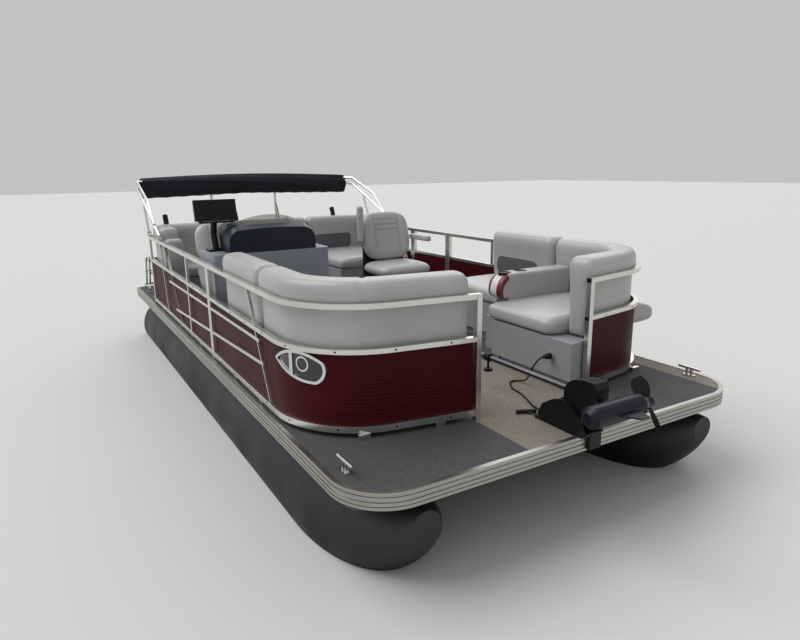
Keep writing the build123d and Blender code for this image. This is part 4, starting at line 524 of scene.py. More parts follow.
def rounded_run(
    points: Sequence[tuple[float, float]], radii: Sequence[float], step: float = 0.04
) -> np.ndarray:
    """Points along straight runs joined by tangent arcs.

    Args:
        points: the runs' corners in plan.
        radii: radius at each inner corner.
        step: rough distance between points on a run; each arc has 17 points.

    Returns:
        Array of shape (n, 2). Runs with the same counts match when they are offset.
    """
    corners = [np.array(p, float) for p in points]
    out = []
    start = corners[0]
    for i, radius in enumerate(radii, 1):
        before, here, after = corners[i - 1], corners[i], corners[i + 1]
        into = (here - before) / np.linalg.norm(here - before)
        away = (after - here) / np.linalg.norm(after - here)
        turn = math.acos(float(np.clip(into @ away, -1, 1)))
        reach = radius * math.tan(turn / 2)
        first, last = here - into * reach, here + away * reach
        side = 1.0 if into[0] * away[1] - into[1] * away[0] > 0 else -1.0
        normal = np.array([-into[1], into[0]]) * side
        centre = first + normal * radius
        count = max(2, int(np.linalg.norm(first - start) / step))
        out.append(start + (first - start) * np.linspace(0, 1, count, endpoint=False)[:, None])
        angle = np.linspace(0, turn, 17, endpoint=False)[:, None]
        out.append(centre - normal * radius * np.cos(angle) + into * radius * np.sin(angle))
        start = last
    count = max(2, int(np.linalg.norm(corners[-1] - start) / step))
    out.append(start + (corners[-1] - start) * np.linspace(0, 1, count)[:, None])
    return np.concatenate(out)


def offset_run(path: np.ndarray, side: float, distance: float) -> np.ndarray:
    """A path moved sideways.

    Each point moves along the path's left normal times side, by the distance.

    Args:
        path: points in plan.
        side: 1 for the left of the direction of travel, -1 for the right.
        distance: how far.

    Returns:
        The moved points.
    """
    tangent = np.gradient(path, axis=0)
    tangent /= np.linalg.norm(tangent, axis=1, keepdims=True)
    normal = np.stack([-tangent[:, 1], tangent[:, 0]], 1) * side
    return path + normal * distance


def spaced(length: float, ends: float, step: float) -> np.ndarray:
    """Distances from 0 to a length, packed close near both ends."""
    near = ends * (1 - np.cos(np.linspace(0, np.pi / 2, 7)))
    count = max(3, int((length - 2 * ends) / step))
    middle = np.linspace(ends, length - ends, count)
    return np.unique(np.round(np.concatenate([near, middle, length - near]), 6))


def straight(start: tuple[float, float], end: tuple[float, float], count: int) -> np.ndarray:
    """Evenly spaced points from one place in plan to another."""
    return np.stack([np.linspace(a, b, count) for a, b in zip(start, end)], 1)


def travelled(path: np.ndarray) -> np.ndarray:
    """Distance along a path from its start to each of its points."""
    return np.concatenate([[0], np.cumsum(np.linalg.norm(np.diff(path, axis=0), axis=1))])


def resampled(path: np.ndarray, share: np.ndarray) -> np.ndarray:
    """Points of a path at the given shares of its own length."""
    gone = travelled(path)
    return np.stack([np.interp(share * gone[-1], gone, path[:, k]) for k in range(path.shape[1])], 1)


@dataclass
class Pad:
    """A long foam pad between two matched edges in plan, with rounded ends and a crowned top."""

    outer: np.ndarray
    inner: np.ndarray
    low: float
    high: float
    end_radius: float = 0.05
    power: float = 4.5
    crown: float = 0.012
    seams: tuple[float, ...] = ()
    step: float = 0.025
    loop: int = 44
    section: tuple[tuple[float, float], ...] = ()

    def outline(self) -> tuple[np.ndarray, np.ndarray]:
        """The section's two coordinates, each from -1 to 1.

        Without a section of its own the pad has a superellipse. A given section is a closed
        polygon whose corners are cut twice, each time at a quarter of both sides.
        """
        if not self.section:
            return superellipse(self.loop, self.power)
        line = np.array(self.section, float)
        for _ in range(2):
            after = np.roll(line, -1, 0)
            line = np.stack([0.75 * line + 0.25 * after, 0.25 * line + 0.75 * after], 1).reshape(-1, 2)
        low, high = line.min(0), line.max(0)
        line = (line - (low + high) / 2) / ((high - low) / 2)
        return line[:, 0], line[:, 1]

    def grid(self) -> np.ndarray:
        """Works out the pad's surface.

        A superellipse across the pad is carried along its middle line. Near each end both its
        half sizes shrink by radius minus the root of radius squared minus the square of what is
        left of the radius, which rounds the end. The top rises by the crown times one minus the
        square of the place across and along. Each seam draws the section in by a narrow bell.

        Returns:
            Points of shape (rows, columns, 3).
        """
        middle = (self.outer + self.inner) / 2
        length = float(np.linalg.norm(np.diff(middle, axis=0), axis=1).sum())
        place = spaced(length, self.end_radius, self.step)
        share = place / length
        gone = travelled(middle) / length
        outer = np.stack([np.interp(share, gone, self.outer[:, k]) for k in (0, 1)], 1)
        inner = np.stack([np.interp(share, gone, self.inner[:, k]) for k in (0, 1)], 1)
        centre = (outer + inner) / 2
        across = (inner - outer) / 2
        half = np.linalg.norm(across, axis=1)
        unit = across / half[:, None]
        tall = (self.high - self.low) / 2
        near = np.minimum(place, length - place)
        left = np.clip(self.end_radius - near, 0, self.end_radius)
        inset = self.end_radius - np.sqrt(np.maximum(self.end_radius**2 - left**2, 0))
        for seam in self.seams:
            inset = inset + 0.006 * np.exp(-(((place - seam) / 0.006) ** 2))
        a, b = self.outline()
        wide = (half - np.minimum(inset, half * 0.6))[:, None] * a[None, :]
        high = np.maximum(tall - inset, tall * 0.35)[:, None] * b[None, :]
        along = np.clip(near / 0.15, 0, 1)[:, None] ** 0.5
        bulge = self.crown * (1 - a[None, :] ** 2) * along * (b[None, :] > 0)
        grid = np.zeros((len(place), len(a), 3))
        grid[:, :, :2] = centre[:, None, :] + unit[:, None, :] * wide[:, :, None]
        grid[:, :, 2] = (self.low + self.high) / 2 + high + bulge - self.crown
        return grid

    def mesh(self) -> Surface:
        """The pad's closed surface."""
        return capped(self.grid())


def tube(path: np.ndarray, radius: float, count: int = 8) -> Surface:
    """A closed round bar along a path in space.

    A circle stands across the path at each point; its first direction is the tangent crossed
    with the least aligned axis, carried along by removing its part along each next tangent.

    Args:
        path: points of shape (n, 3).
        radius: the bar's radius.
        count: points round it.

    Returns:
        The surface.
    """
    tangent = np.gradient(path, axis=0)
    tangent /= np.linalg.norm(tangent, axis=1, keepdims=True) + 1e-12
    axis = np.eye(3)[int(np.argmin(np.abs(tangent[0])))]
    side = np.cross(tangent[0], axis)
    sides = np.empty_like(path)
    for i, direction in enumerate(tangent):
        side = side - direction * (side @ direction)
        side = side / np.linalg.norm(side)
        sides[i] = side
    other = np.cross(tangent, sides)
    turn = np.linspace(0, 2 * np.pi, count, endpoint=False)
    ring = np.cos(turn)[None, :, None] * sides[:, None, :] + np.sin(turn)[None, :, None] * other[:, None, :]
    return capped(path[:, None, :] + radius * ring)


def lathe(profile: Sequence[tuple[float, float]], centre: Vector, axis: Vector, count: int = 32) -> Surface:
    """A surface of revolution, each point of the profile being (along the axis, radius).

    Args:
        profile: its points from one end to the other.
        centre: where the axis starts.
        axis: the axis' direction.
        count: points round it.

    Returns:
        The surface.
    """
    line = np.array(axis.normalized())
    side = np.cross(line, np.eye(3)[int(np.argmin(np.abs(line)))])
    side /= np.linalg.norm(side)
    other = np.cross(line, side)
    turn = np.linspace(0, 2 * np.pi, count, endpoint=False)
    ring = np.cos(turn)[:, None] * side + np.sin(turn)[:, None] * other
    rows = np.array(profile)
    grid = np.array(centre) + rows[:, 0, None, None] * line + rows[:, 1, None, None] * ring[None]
    return capped(grid)


# Sub-assemblies


@dataclass
class Lounges:
    """Soft parts of the three lounges."""

    seat_in: float = 0.025
    depth: float = 0.56
    roll_in: float = 0.019
    roll_t: float = 0.172
    front_aft: float = 0.46
    slope: float = 0.16
    made: list[bpy.types.Object] = field(default_factory=list)

    def bow(self, side: int, gate_y: float, end: float, start: float) -> np.ndarray:
        """The fence's line from the bow gate round the corner and aft.

        Args:
            side: -1 for starboard, 1 for port.
            gate_y: distance of the gate post from the middle.
            end: distance aft where the line stops.
            start: distance outboard of the gate post where the line begins.

        Returns:
            The line's points in plan.
        """
        corner = aft(self.front_aft) - self.slope * (FENCE_Y - gate_y)
        begin = corner + self.slope * (FENCE_Y - gate_y - start)
        corners = [(begin, side * (gate_y + start)), (corner, side * FENCE_Y), (aft(end), side * FENCE_Y)]
        return rounded_run(corners, [FENCE_R])

    def seat(self, name: str, outer: np.ndarray, inner: np.ndarray, **shape) -> Pad:
        """Adds one seat pad."""
        pad = Pad(outer, inner, up(BASE_H) + 0.001, up(SEAT_TOP), **shape)
        self.keep(name, [pad.mesh()])
        return pad

    def keep(self, name: str, parts: list) -> bpy.types.Object:
        """Makes a padded piece of the lounges.

        Args:
            name: the piece's name.
            parts: its surfaces.

        Returns:
            The object.
        """
        made = piece(name, parts, SEAT_VINYL, "hull")
        self.made.append(made)
        return made

    def back(
        self, name: str, path: np.ndarray, side: int, seams: tuple[float, ...] = (), low: float = 0.0
    ) -> None:
        """Adds one back: flat against the fence, fuller above the rail and round at its top.

        Args:
            name: the piece's name.
            path: the fence's line behind it.
            side: which way inboard is from the line.
            seams: distances along the line of its cross seams.
            low: height of its lower edge above the deck, or 0 for just under the seat's top.
        """
        bottom = low or SEAT_TOP - 0.03
        section = (
            (0.176, 0.560), (0.184, 0.650), (0.190, 0.705), (0.186, 0.752), (0.160, 0.782), (0.120, 0.787),
            (0.075, 0.786), (0.036, 0.776), (0.019, 0.745), (0.018, 0.705), (0.020, 0.668), (0.032, 0.650),
            (0.034, 0.630), (0.034, 0.520), (0.034, bottom + 0.004), (0.048, bottom), (0.100, bottom),
            (0.154, bottom), (0.170, bottom + 0.004), (0.171, 0.470),
        )
        pad = Pad(
            offset_run(path, side, self.roll_in),
            offset_run(path, side, self.roll_in + self.roll_t),
            up(bottom),
            up(BACK_TOP),
            end_radius=0.055,
            crown=0.0,
            seams=seams,
            section=section,
        )
        self.keep(name, [pad.mesh()])

    def starboard(self) -> None:
        """Dresses the starboard bow lounge."""
        first = self.bow(-1, GATE_STARBOARD, SPLIT_STARBOARD, BESIDE_POST)
        begin = aft(SPLIT_STARBOARD + SPLIT_GAP)
        second = straight((begin, -FENCE_Y), (aft(END_STARBOARD), -FENCE_Y), 30)
        for name, path in (("front", first), ("side", second)):
            self.back(f"lounge_starboard_back_{name}", path, -1, (0.55,) if name == "front" else ())
        inner = self.inner(-1, GATE_STARBOARD, SPLIT_STARBOARD, BESIDE_POST)
        self.seat("lounge_starboard_seat_front", offset_run(first, -1, self.seat_in), inner, seams=(0.62,))
        outer = offset_run(second, -1, self.seat_in)
        self.seat("lounge_starboard_seat_side", outer, offset_run(second, -1, self.depth))

    def inner(self, side: int, gate_y: float, end: float, start: float) -> np.ndarray:
        """The bow seats' inner edge, a sharp corner matched point by point to the fence's line."""
        corner = aft(self.front_aft) - self.slope * (FENCE_Y - gate_y)
        slant = math.hypot(1, self.slope)
        inner_corner = (corner - self.depth * slant + self.slope * self.depth, side * (FENCE_Y - self.depth))
        begin_y = gate_y + start
        begin_x = inner_corner[0] + self.slope * (FENCE_Y - self.depth - begin_y)
        line = rounded_run(
            [(begin_x, side * begin_y), inner_corner, (aft(end), side * (FENCE_Y - self.depth))], [0.03]
        )
        outer = self.bow(side, gate_y, end, start)
        gone = travelled(outer)
        bend = np.array(inner_corner)
        reach = np.linalg.norm(np.diff(line, axis=0), axis=1).sum()
        turn = np.argmin(np.linalg.norm(line - bend, axis=1))
        first = np.linalg.norm(np.diff(line[: turn + 1], axis=0), axis=1).sum() / reach
        corner_place = np.argmin(np.linalg.norm(outer - np.array((corner, side * FENCE_Y)), axis=1))
        middle = gone[corner_place] / gone[-1]
        share = np.interp(gone / gone[-1], [0, middle, 1], [0, first, 1])
        return resampled(line, share)

    def port(self) -> None:
        """Dresses the port bow lounge."""
        corner = self.bow(1, GATE_PORT, 1.39, BESIDE_POST)
        along = straight((aft(1.405), FENCE_Y), (aft(END_PORT), FENCE_Y), 24)
        self.back("lounge_port_back_corner", corner, 1, low=BASE_H + 0.004)
        self.back("lounge_port_back_side", along, 1)
        front = straight((aft(0.662), 0.328), (aft(1.262), 0.328), 24)
        wall = straight((aft(0.585), 1.21), (aft(1.187), 1.21), 24)
        self.seat("lounge_port_seat_front", wall, front)
        self.seat(
            "lounge_port_seat_aft",
            straight((aft(1.333), 1.218), (aft(END_PORT), 1.218), 24),
            straight((aft(1.333), 0.63), (aft(END_PORT), 0.63), 24),
        )

    def stern(self) -> None:
        """Dresses the stern lounge."""
        limit = aft(FENCE_END - 0.56 - 0.025)
        corner = aft(FENCE_END)
        self.seat(
            "lounge_stern_seat",
            straight((corner + 0.025, -1.215), (corner + 0.025, 0.395), 50),
            straight((limit + 0.010, -1.215), (limit + 0.010, 0.395), 50),
            seams=(0.8,),
        )
        edges = (straight((corner + 0.025, y), (aft(3.69), y), 40) for y in (1.22, 0.405))
        self.seat("lounge_stern_chaise", *edges)
        left = rounded_run([(limit - 0.02, -FENCE_Y), (corner, -FENCE_Y), (corner, -0.42)], [STERN_R + 0.1])
        centre = straight((corner, -0.405), (corner, 0.40), 24)
        right = rounded_run([(corner, 0.415), (corner, FENCE_Y), (limit - 0.02, FENCE_Y)], [STERN_R + 0.1])
        for name, path in (("starboard", left), ("middle", centre), ("port", right)):
            self.back(f"lounge_stern_back_{name}", path, -1)
        bolster = Pad(
            *(straight((limit + 0.014, y), (aft(4.002), y), 12) for y in (-1.225, -1.04)),
            up(0.002),
            up(0.69),
            end_radius=0.04,
            power=6,
            crown=0.0,
        )
        self.keep("lounge_stern_bolster", [bolster.mesh()])

    def build(self) -> None:
        """Makes all the pads and hides their solids."""
        self.starboard()
        self.port()
        self.stern()
        for node in ("lounge_starboard_cushions", "lounge_port_cushions", "lounge_stern_cushions"):
            for made in self.made:
                if made.name.startswith(node.rsplit("_", 1)[0]):
                    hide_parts(node)


@dataclass
class Chair:
    """Soft parts of one swivel chair: seat pad and back pad with bolsters and sewn channels."""

    name: str
    body: str
    node: str
    x: float
    y: float
    top: float
    width: float = 0.5
    deep: float = 0.48
    seat_top: float = 0.5
    seat_low: float = 0.377
    lean_mm: float = 100

    def pillow(
        self,
        across: Vector,
        along: Vector,
        out: Vector,
        centre: Vector,
        half: tuple[float, float, float],
        power: float,
        relief: Callable[[np.ndarray, np.ndarray], np.ndarray],
    ) -> Surface:
        """A closed pad whose outline is a superellipse.

        The outline is scaled from its middle to its rim by r; the face stands out by the half
        thickness times the square root of one minus r to the sixth, plus the relief, which is
        a function of the place across and along, and the rear mirrors it without the relief.

        Args:
            across: direction of the outline's first coordinate.
            along: direction of its second.
            out: direction that the face looks.
            centre: the pad's middle.
            half: half sizes across, along and out.
            power: the outline's superellipse power.
            relief: height added to the face, in metres.

        Returns:
            The surface.
        """
        rings = np.sin(np.linspace(0, 1, 61) * np.pi / 2)[1:]
        a, b = superellipse(160, power)
        rows = []
        for sign, radii in ((1.0, rings), (-1.0, rings[::-1][1:])):
            r = radii[:, None]
            u, v = r * a[None, :], r * b[None, :]
            depth = half[2] * np.sqrt(np.maximum(1 - r**6, 0)) * np.ones_like(u)
            if sign > 0:
                depth = depth + relief(u, v) * np.sqrt(np.maximum(1 - r**6, 0))
            rows.append(np.stack([u * half[0], v * half[1], sign * depth], -1))
        local = np.concatenate(rows)
        basis = np.array([across, along, out])
        return capped(np.array(centre) + local @ basis)

    def build(self) -> None:
        """Makes the seat and the back and hides their solids."""
        def channels(u: np.ndarray, v: np.ndarray) -> np.ndarray:
            """Raised bolsters at the sides, and a middle with sewn cross channels."""
            bolster = 0.016 / (1 + np.exp(-(np.abs(u) - 0.60) * 30))
            groove = -0.009 * np.exp(-(((np.abs(u) - 0.5) / 0.022) ** 2))
            cross = sum(-0.008 * np.exp(-(((v - place) / 0.016) ** 2)) for place in (0.66, 0.44, 0.22))
            return bolster + groove + np.where(np.abs(u) < 0.5, cross, 0.0)

        def dished(u: np.ndarray, v: np.ndarray) -> np.ndarray:
            """A seat's shallow dish with a sewn outline."""
            edge = -0.006 * np.exp(-(((np.maximum(np.abs(u), np.abs(v)) - 0.66) / 0.03) ** 2))
            return 0.008 * (1 - u**2) * (1 - v**2) + edge

        tall = self.top - self.seat_top
        lean = Vector((-self.lean_mm, 0, tall * 1000)).normalized()
        out = Vector((lean.z, 0, -lean.x))
        centre = Vector((self.x - self.deep / 2 + 0.022 + 0.03, self.y, up(self.seat_top + tall / 2)))
        half = (self.width / 2 - 0.012, tall / 2 + 0.004, 0.045)
        back = self.pillow(Vector((0, 1, 0)), lean, out, centre, half, 3.5, channels)
        seat = self.pillow(
            Vector((1, 0, 0)),
            Vector((0, 1, 0)),
            Vector((0, 0, 1)),
            Vector((self.x + 0.012, self.y, up((self.seat_low + self.seat_top) / 2))),
            (self.deep / 2 - 0.014, self.width / 2, (self.seat_top - self.seat_low) / 2 - 0.004),
            5.0,
            dished,
        )
        for label, surface in (("back", back), ("seat", seat)):
            made = piece(f"{self.name}_{label}", [surface], SEAT_VINYL, self.body)
            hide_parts(self.node)


@dataclass
class ChairArm:
    """One padded arm of the captain chair, from its pivot end to its free end."""

    node: str
    body: str
    start: tuple[float, float, float]
    along: tuple[float, float, float]
    length: float = 0.320
    half: tuple[float, float] = (0.0258, 0.0248)
    end_radius: float = 0.022

    def build(self) -> None:
        """Makes the arm.

        A superellipse stands across the arm; near each end it shrinks by radius minus the root
        of radius squared minus the square of what is left of the radius. Its free half is
        fuller, by a share of the sine of the place along it.
        """
        line = np.array(self.along)
        side = np.array([0.0, 1.0, 0.0])
        other = np.cross(line, side)
        place = spaced(self.length, self.end_radius, 0.01)
        left = np.clip(self.end_radius - np.minimum(place, self.length - place), 0, self.end_radius)
        inset = self.end_radius - np.sqrt(np.maximum(self.end_radius**2 - left**2, 0))
        a, b = superellipse(56, 3.4)
        slim = 0.93 + 0.07 * np.sin(place / self.length * np.pi / 2)
        wide = ((self.half[0] - inset) * slim)[:, None, None] * a[None, :, None] * side
        tall = ((self.half[1] - inset) * slim)[:, None, None] * b[None, :, None] * other
        grid = np.array(self.start) + place[:, None, None] * line + wide + tall
        made = piece(f"{self.node}_pad", [capped(grid)], SEAT_VINYL, self.body)
        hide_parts(self.node)


@dataclass
class Insets:
    """Charcoal panels let into the lower half of two backs."""

    face: float = 0.1755
    proud: float = 0.009
    sunk: float = 0.004

    def build(self) -> None:
        """Makes the two panels as thin pads on the backs' faces."""
        x = aft(FENCE_END) + self.face
        stern = Pad(
            *(straight((edge, 0.47), (edge, 0.93), 20) for edge in (x - self.sunk, x + self.proud)),
            up(SEAT_TOP) + 0.004,
            up(0.585),
            end_radius=0.05,
            power=5.0,
            crown=0.0,
        )
        y = FENCE_Y - self.face
        port = Pad(
            *(straight((aft(1.56), edge), (aft(2.04), edge), 20) for edge in (y + self.sunk, y - self.proud)),
            up(SEAT_TOP) + 0.004,
            up(0.580),
            end_radius=0.06,
            power=5.0,
            crown=0.0,
        )
        for label, pad in (("stern", stern), ("port", port)):
            made = piece(f"lounge_{label}_inset", [pad.mesh()], DARK_VINYL, "hull")
            grid = pad.grid()
            edge = grid[:, np.argmax(grid[len(grid) // 2, :, 2])]
            piece(f"lounge_{label}_inset_welt", [tube(edge[2:-2], 0.0035)], WELT, "hull")


@dataclass
class Armrest:
    """The padded armrest between the port seats, with its two lined cup wells."""

    front: float = 1.190
    rear: float = 1.327
    cup_x: float = 1.260
    cups: tuple[float, float] = (0.485, 0.625)
    well: float = 0.0425
    top: float = 0.600
    inboard: float = 0.391
    outboard: float = 1.046
    nose_y: float = 0.474
    nose_z: float = 0.482
    nose_low: float = 0.426
    bottom: float = 0.301
    edge: float = 0.024
    cutter: tuple[float, float] = (0.02, -0.075)

    def section(self, half: float, low: float, high: float) -> np.ndarray:
        """A rounded box across the armrest: four quarter circles joined by straight runs.

        Args:
            half: half its width.
            low: its lower height.
            high: its upper height.

        Returns:
            Its loop of points, x and z.
        """
        radius = min(self.edge, half * 0.9, (high - low) * 0.45)
        flat = min(0.006, half - radius, (high - low) / 2 - radius)
        turn = np.linspace(0, np.pi / 2, 7)
        across = np.concatenate([[radius], radius * np.cos(turn), [-flat]])
        upward = np.concatenate([[-flat], radius * np.sin(turn), [radius]])
        quarter = np.stack([half - radius + across, (high - low) / 2 - radius + upward], 1)
        flipped = quarter[::-1]
        loop = np.concatenate([quarter, flipped * (-1, 1), quarter * (-1, -1), flipped * (1, -1)])
        return loop + (0, (high + low) / 2)

    def cushion(self) -> Surface:
        """Works out the cushion.

        Rounded boxes stand along its length. Over the inboard end their top follows a quarter
        circle and their underside a smaller one, and behind that nose they reach down between
        the seats. Near both ends the width draws in by the edge radius minus the root of its
        square minus the square of what is left of it.

        Returns:
            The surface.
        """
        big, small = self.top - self.nose_z, self.nose_z - self.nose_low
        arc = self.inboard + big * (1 - np.cos(np.linspace(0.06, np.pi / 2, 26)))
        rest = np.linspace(self.inboard + big, self.outboard - self.edge, 24)[1:]
        end = self.outboard - self.edge * (1 - np.sin(np.linspace(0, np.pi / 2, 7)))
        place = np.unique(np.concatenate([arc, [self.nose_y, self.nose_y + 0.0005], rest, end]))
        rows = []
        for y in place:
            gone = min(y - self.inboard, big)
            high = self.nose_z + math.sqrt(big**2 - (big - gone) ** 2)
            near = min(y - self.inboard, small)
            low = self.nose_z - math.sqrt(small**2 - (small - near) ** 2) if y <= self.nose_y else self.bottom
            left = max(self.edge - min(y - self.inboard, self.outboard - y), 0.0)
            half = (self.rear - self.front) / 2 - (self.edge - math.sqrt(max(self.edge**2 - left**2, 0)))
            loop = self.section(half, low, high)
            x = aft((self.front + self.rear) / 2) + loop[:, 0]
            rows.append(np.stack([x, np.full(len(loop), y), DECK_Z + loop[:, 1]], 1))
        return capped(np.array(rows))

    def build(self) -> None:
        """Cuts the wells into the cushion and sets a black liner into each."""
        made = piece("lounge_port_armrest_pad", [self.cushion()], ARM_VINYL, "hull")
        drill = [(height, self.well) for height in self.cutter]
        places = [Vector((aft(self.cup_x), y, up(self.top))) for y in self.cups]
        cutters = [lathe(drill, place, Vector((0, 0, 1)), 48) for place in places]
        tool = piece("cup_drill", cutters, ARM_VINYL, "hull")
        for target in (made, tool):
            mesh = bmesh.new()
            mesh.from_mesh(target.data)
            bmesh.ops.recalc_face_normals(mesh, faces=mesh.faces)
            mesh.to_mesh(target.data)
            mesh.free()
        cut = made.modifiers.new("wells", "BOOLEAN")
        cut.operation = "DIFFERENCE"
        cut.object = tool
        cut.solver = "EXACT"
        graph = bpy.context.evaluated_depsgraph_get()
        mesh = bpy.data.meshes.new_from_object(made.evaluated_get(graph))
        made.modifiers.remove(cut)
        made.data = mesh
        bpy.data.objects.remove(tool)
        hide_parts("lounge_port_armrest")
        profile = (
            (0.0000, 0.0462), (0.0010, 0.0458), (0.0014, 0.0440), (0.0006, 0.0420), (-0.004, 0.0411),
            (-0.040, 0.0410), (-0.0725, 0.0405), (-0.0744, 0.0380), (-0.0744, 0.0100),
        )
        liners = [lathe(profile, place, Vector((0, 0, 1)), 48) for place in places]
        piece("cup_liners", liners, BLACK_ABS, "hull")


@dataclass
class RailCaps:
    """Black plastic plugs in the open ends of the bow fences' top and middle rails."""

    wide: float = 0.030
    proud: float = 0.004

    def build(self) -> None:
        """Sets a rounded plug on each rail end beside the bow gateway."""
        parts = []
        lounges = Lounges()
        for side, gate_y in ((-1, GATE_STARBOARD), (1, GATE_PORT)):
            corner = aft(lounges.front_aft) - lounges.slope * (FENCE_Y - gate_y)
            start = np.array([corner + lounges.slope * (FENCE_Y - gate_y), side * gate_y, 0.0])
            along = np.array([-lounges.slope, side, 0.0]) / math.hypot(1, lounges.slope)
            across = np.array([along[1], -along[0], 0.0])
            a, b = superellipse(28, 8)
            for top, tall in ((RAIL_TOP, 0.028), (MID_TOP, 0.025)):
                rows = []
                for out, size in ((0.0, 1.0), (0.6, 1.0), (0.9, 0.93), (1.0, 0.8)):
                    loop = start - along * (self.proud * out) + across * (a[:, None] * self.wide / 2 * size)
                    loop[:, 2] = up(top - tall / 2) + b * tall / 2 * size
                    rows.append(loop)
                parts.append(capped(np.array(rows)))
        piece("rail_caps", parts, BLACK_ABS, "hull")


@dataclass
class Boot:
    """The canopy's long fabric boot, drawn over the folded bows."""

    back: float = 5.230
    top: float = 1.150
    half: float = 1.212
    wide: float = 0.094
    tall: float = 0.114
    shut: float = 0.965
    ends: float = 0.035

    def build(self) -> None:
        """Makes the boot.

        The spine is an arch. The section is an ellipse whose radius is one plus a fold term: the
        folds run along the boot and wander, so the term is a sum of sines of the turn and of the
        place along it. Both ends close in over the last 40 mm.
        """
        rows, loop = 150, 72
        shut = self.shut
        middle = np.linspace(-shut, shut, rows)
        share = np.concatenate([np.linspace(-1, -shut, 8)[:-1], middle, np.linspace(shut, 1, 8)[1:]])
        turn = np.linspace(0, 2 * np.pi, loop, endpoint=False)
        along, round_ = np.meshgrid(share, turn, indexing="ij")
        fold = 0.045 * np.sin(5 * round_ + 2.0 * np.sin(2.1 * along)) + 0.030 * np.sin(9 * round_ + 5 * along)
        low = np.clip(0.4 - np.sin(round_), 0, 1)
        fold = fold + 0.020 * np.sin(41 * along + 2 * np.sin(3 * round_)) * low
        left = np.clip((np.abs(along) - shut) / self.ends, 0, 1)
        close = np.sqrt(np.maximum(1 - left**2, 0.0004))
        radius = (0.93 + fold) * close
        arch = -0.025 * along**2
        grid = np.stack(
            [
                aft(self.back) + self.wide * radius * np.cos(round_),
                self.half * along,
                up(self.top) + arch + self.tall * radius * np.sin(round_),
            ],
            -1,
        )
        made = piece("canopy_boot_cloth", [capped(grid)], BOOT_CANVAS, "canopy")
        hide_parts("canopy_boot")


@dataclass
class Screws:
    """Blackened screw heads along the fence's middle rail and its bottom track."""

    pitch: float = 0.3
    radius: float = 0.006
    proud: float = 0.003
    off: float = 0.0152
    heights: tuple[float, float] = (MID_TOP - 0.0125, 0.0425)

    def dome(self, centre: np.ndarray, out: np.ndarray) -> Surface:
        """A pan head: radius times the cosine and height times the sine of an angle up to 86 degrees."""
        angle = np.linspace(0, np.pi / 2 * 0.96, 5)
        turn = np.linspace(0, 2 * np.pi, 12, endpoint=False)
        side = np.array([-out[1], out[0], 0.0])
        ring = np.cos(turn)[None, :, None] * side + np.sin(turn)[None, :, None] * np.array([0, 0, 1.0])
        grid = centre + self.radius * np.cos(angle)[:, None, None] * ring
        grid = grid + (self.proud * np.sin(angle) - 0.001)[:, None, None] * out
        return capped(grid)

    def build(self) -> None:
        """Sets the screws round both bow fences and along the starboard side."""
        heads = []
        lounges = Lounges()
        for side, gate_y, end in ((-1, GATE_STARBOARD, 2.30), (1, GATE_PORT, 2.95)):
            path = offset_run(lounges.bow(side, gate_y, end, 0.05), side, -self.off)
            gone = travelled(path)
            for place in np.arange(0.12, gone[-1], self.pitch):
                here = np.array([np.interp(place, gone, path[:, k]) for k in (0, 1)])
                near = np.array([np.interp(place + 0.01, gone, path[:, k]) for k in (0, 1)])
                tangent = (near - here) / np.linalg.norm(near - here)
                out = np.array([-tangent[1], tangent[0], 0.0]) * -side
                for height in self.heights:
                    heads.append(self.dome(np.array([*here, up(height)]), out))
        for distance in np.arange(2.5, 4.55, self.pitch):
            for height in self.heights:
                centre = np.array([aft(distance), -FENCE_Y - self.off, up(height)])
                heads.append(self.dome(centre, np.array([0, -1.0, 0])))
        piece("fence_screws", heads, SCREW_STEEL, "hull")


@dataclass
class Lead:
    """The bow motor's supply lead, from the plug in the lounge's base to the mount."""

    diameter: float = 0.010
    route: tuple[tuple[float, float, float], ...] = (
        (0.624, 0.262, 0.196),
        (0.624, 0.238, 0.196),
        (0.640, 0.214, 0.160),
        (0.664, 0.206, 0.112),
        (0.694, 0.214, 0.062),
        (0.732, 0.230, 0.024),
        (0.780, 0.232, 0.008),
        (0.812, 0.200, 0.006),
        (0.798, 0.158, 0.006),
        (0.750, 0.128, 0.006),
        (0.704, 0.098, 0.006),
        (0.660, 0.096, 0.006),
        (0.600, 0.084, 0.006),
        (0.540, 0.060, 0.006),
        (0.480, 0.034, 0.006),
        (0.430, 0.012, 0.007),
        (0.380, 0.000, 0.009),
        (0.3103, -0.004, 0.011),
    )

    def build(self) -> None:
        """Makes the lead as one smooth spline."""
        data = bpy.data.curves.new("bow_motor_lead_cord", "CURVE")
        data.dimensions = "3D"
        data.bevel_depth = self.diameter / 2
        data.bevel_resolution = 4
        data.resolution_u = 8
        data.use_fill_caps = True
        spline = data.splines.new("NURBS")
        spline.points.add(len(self.route) - 1)
        for point, (behind, y, height) in zip(spline.points, self.route):
            point.co = (aft(behind), y, up(height), 1.0)
        spline.order_u = 3
        spline.use_endpoint_u = True
        data.materials.append(RUBBER.material())
        made = bpy.data.objects.new("bow_motor_lead_cord", data)
        bpy.context.scene.collection.objects.link(made)
        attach(made, "hull")
        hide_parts("bow_motor_lead")
        behind, y, height = self.route[0]
        LOG.info("bow_motor_lead_cord: %d points on hull", len(self.route))


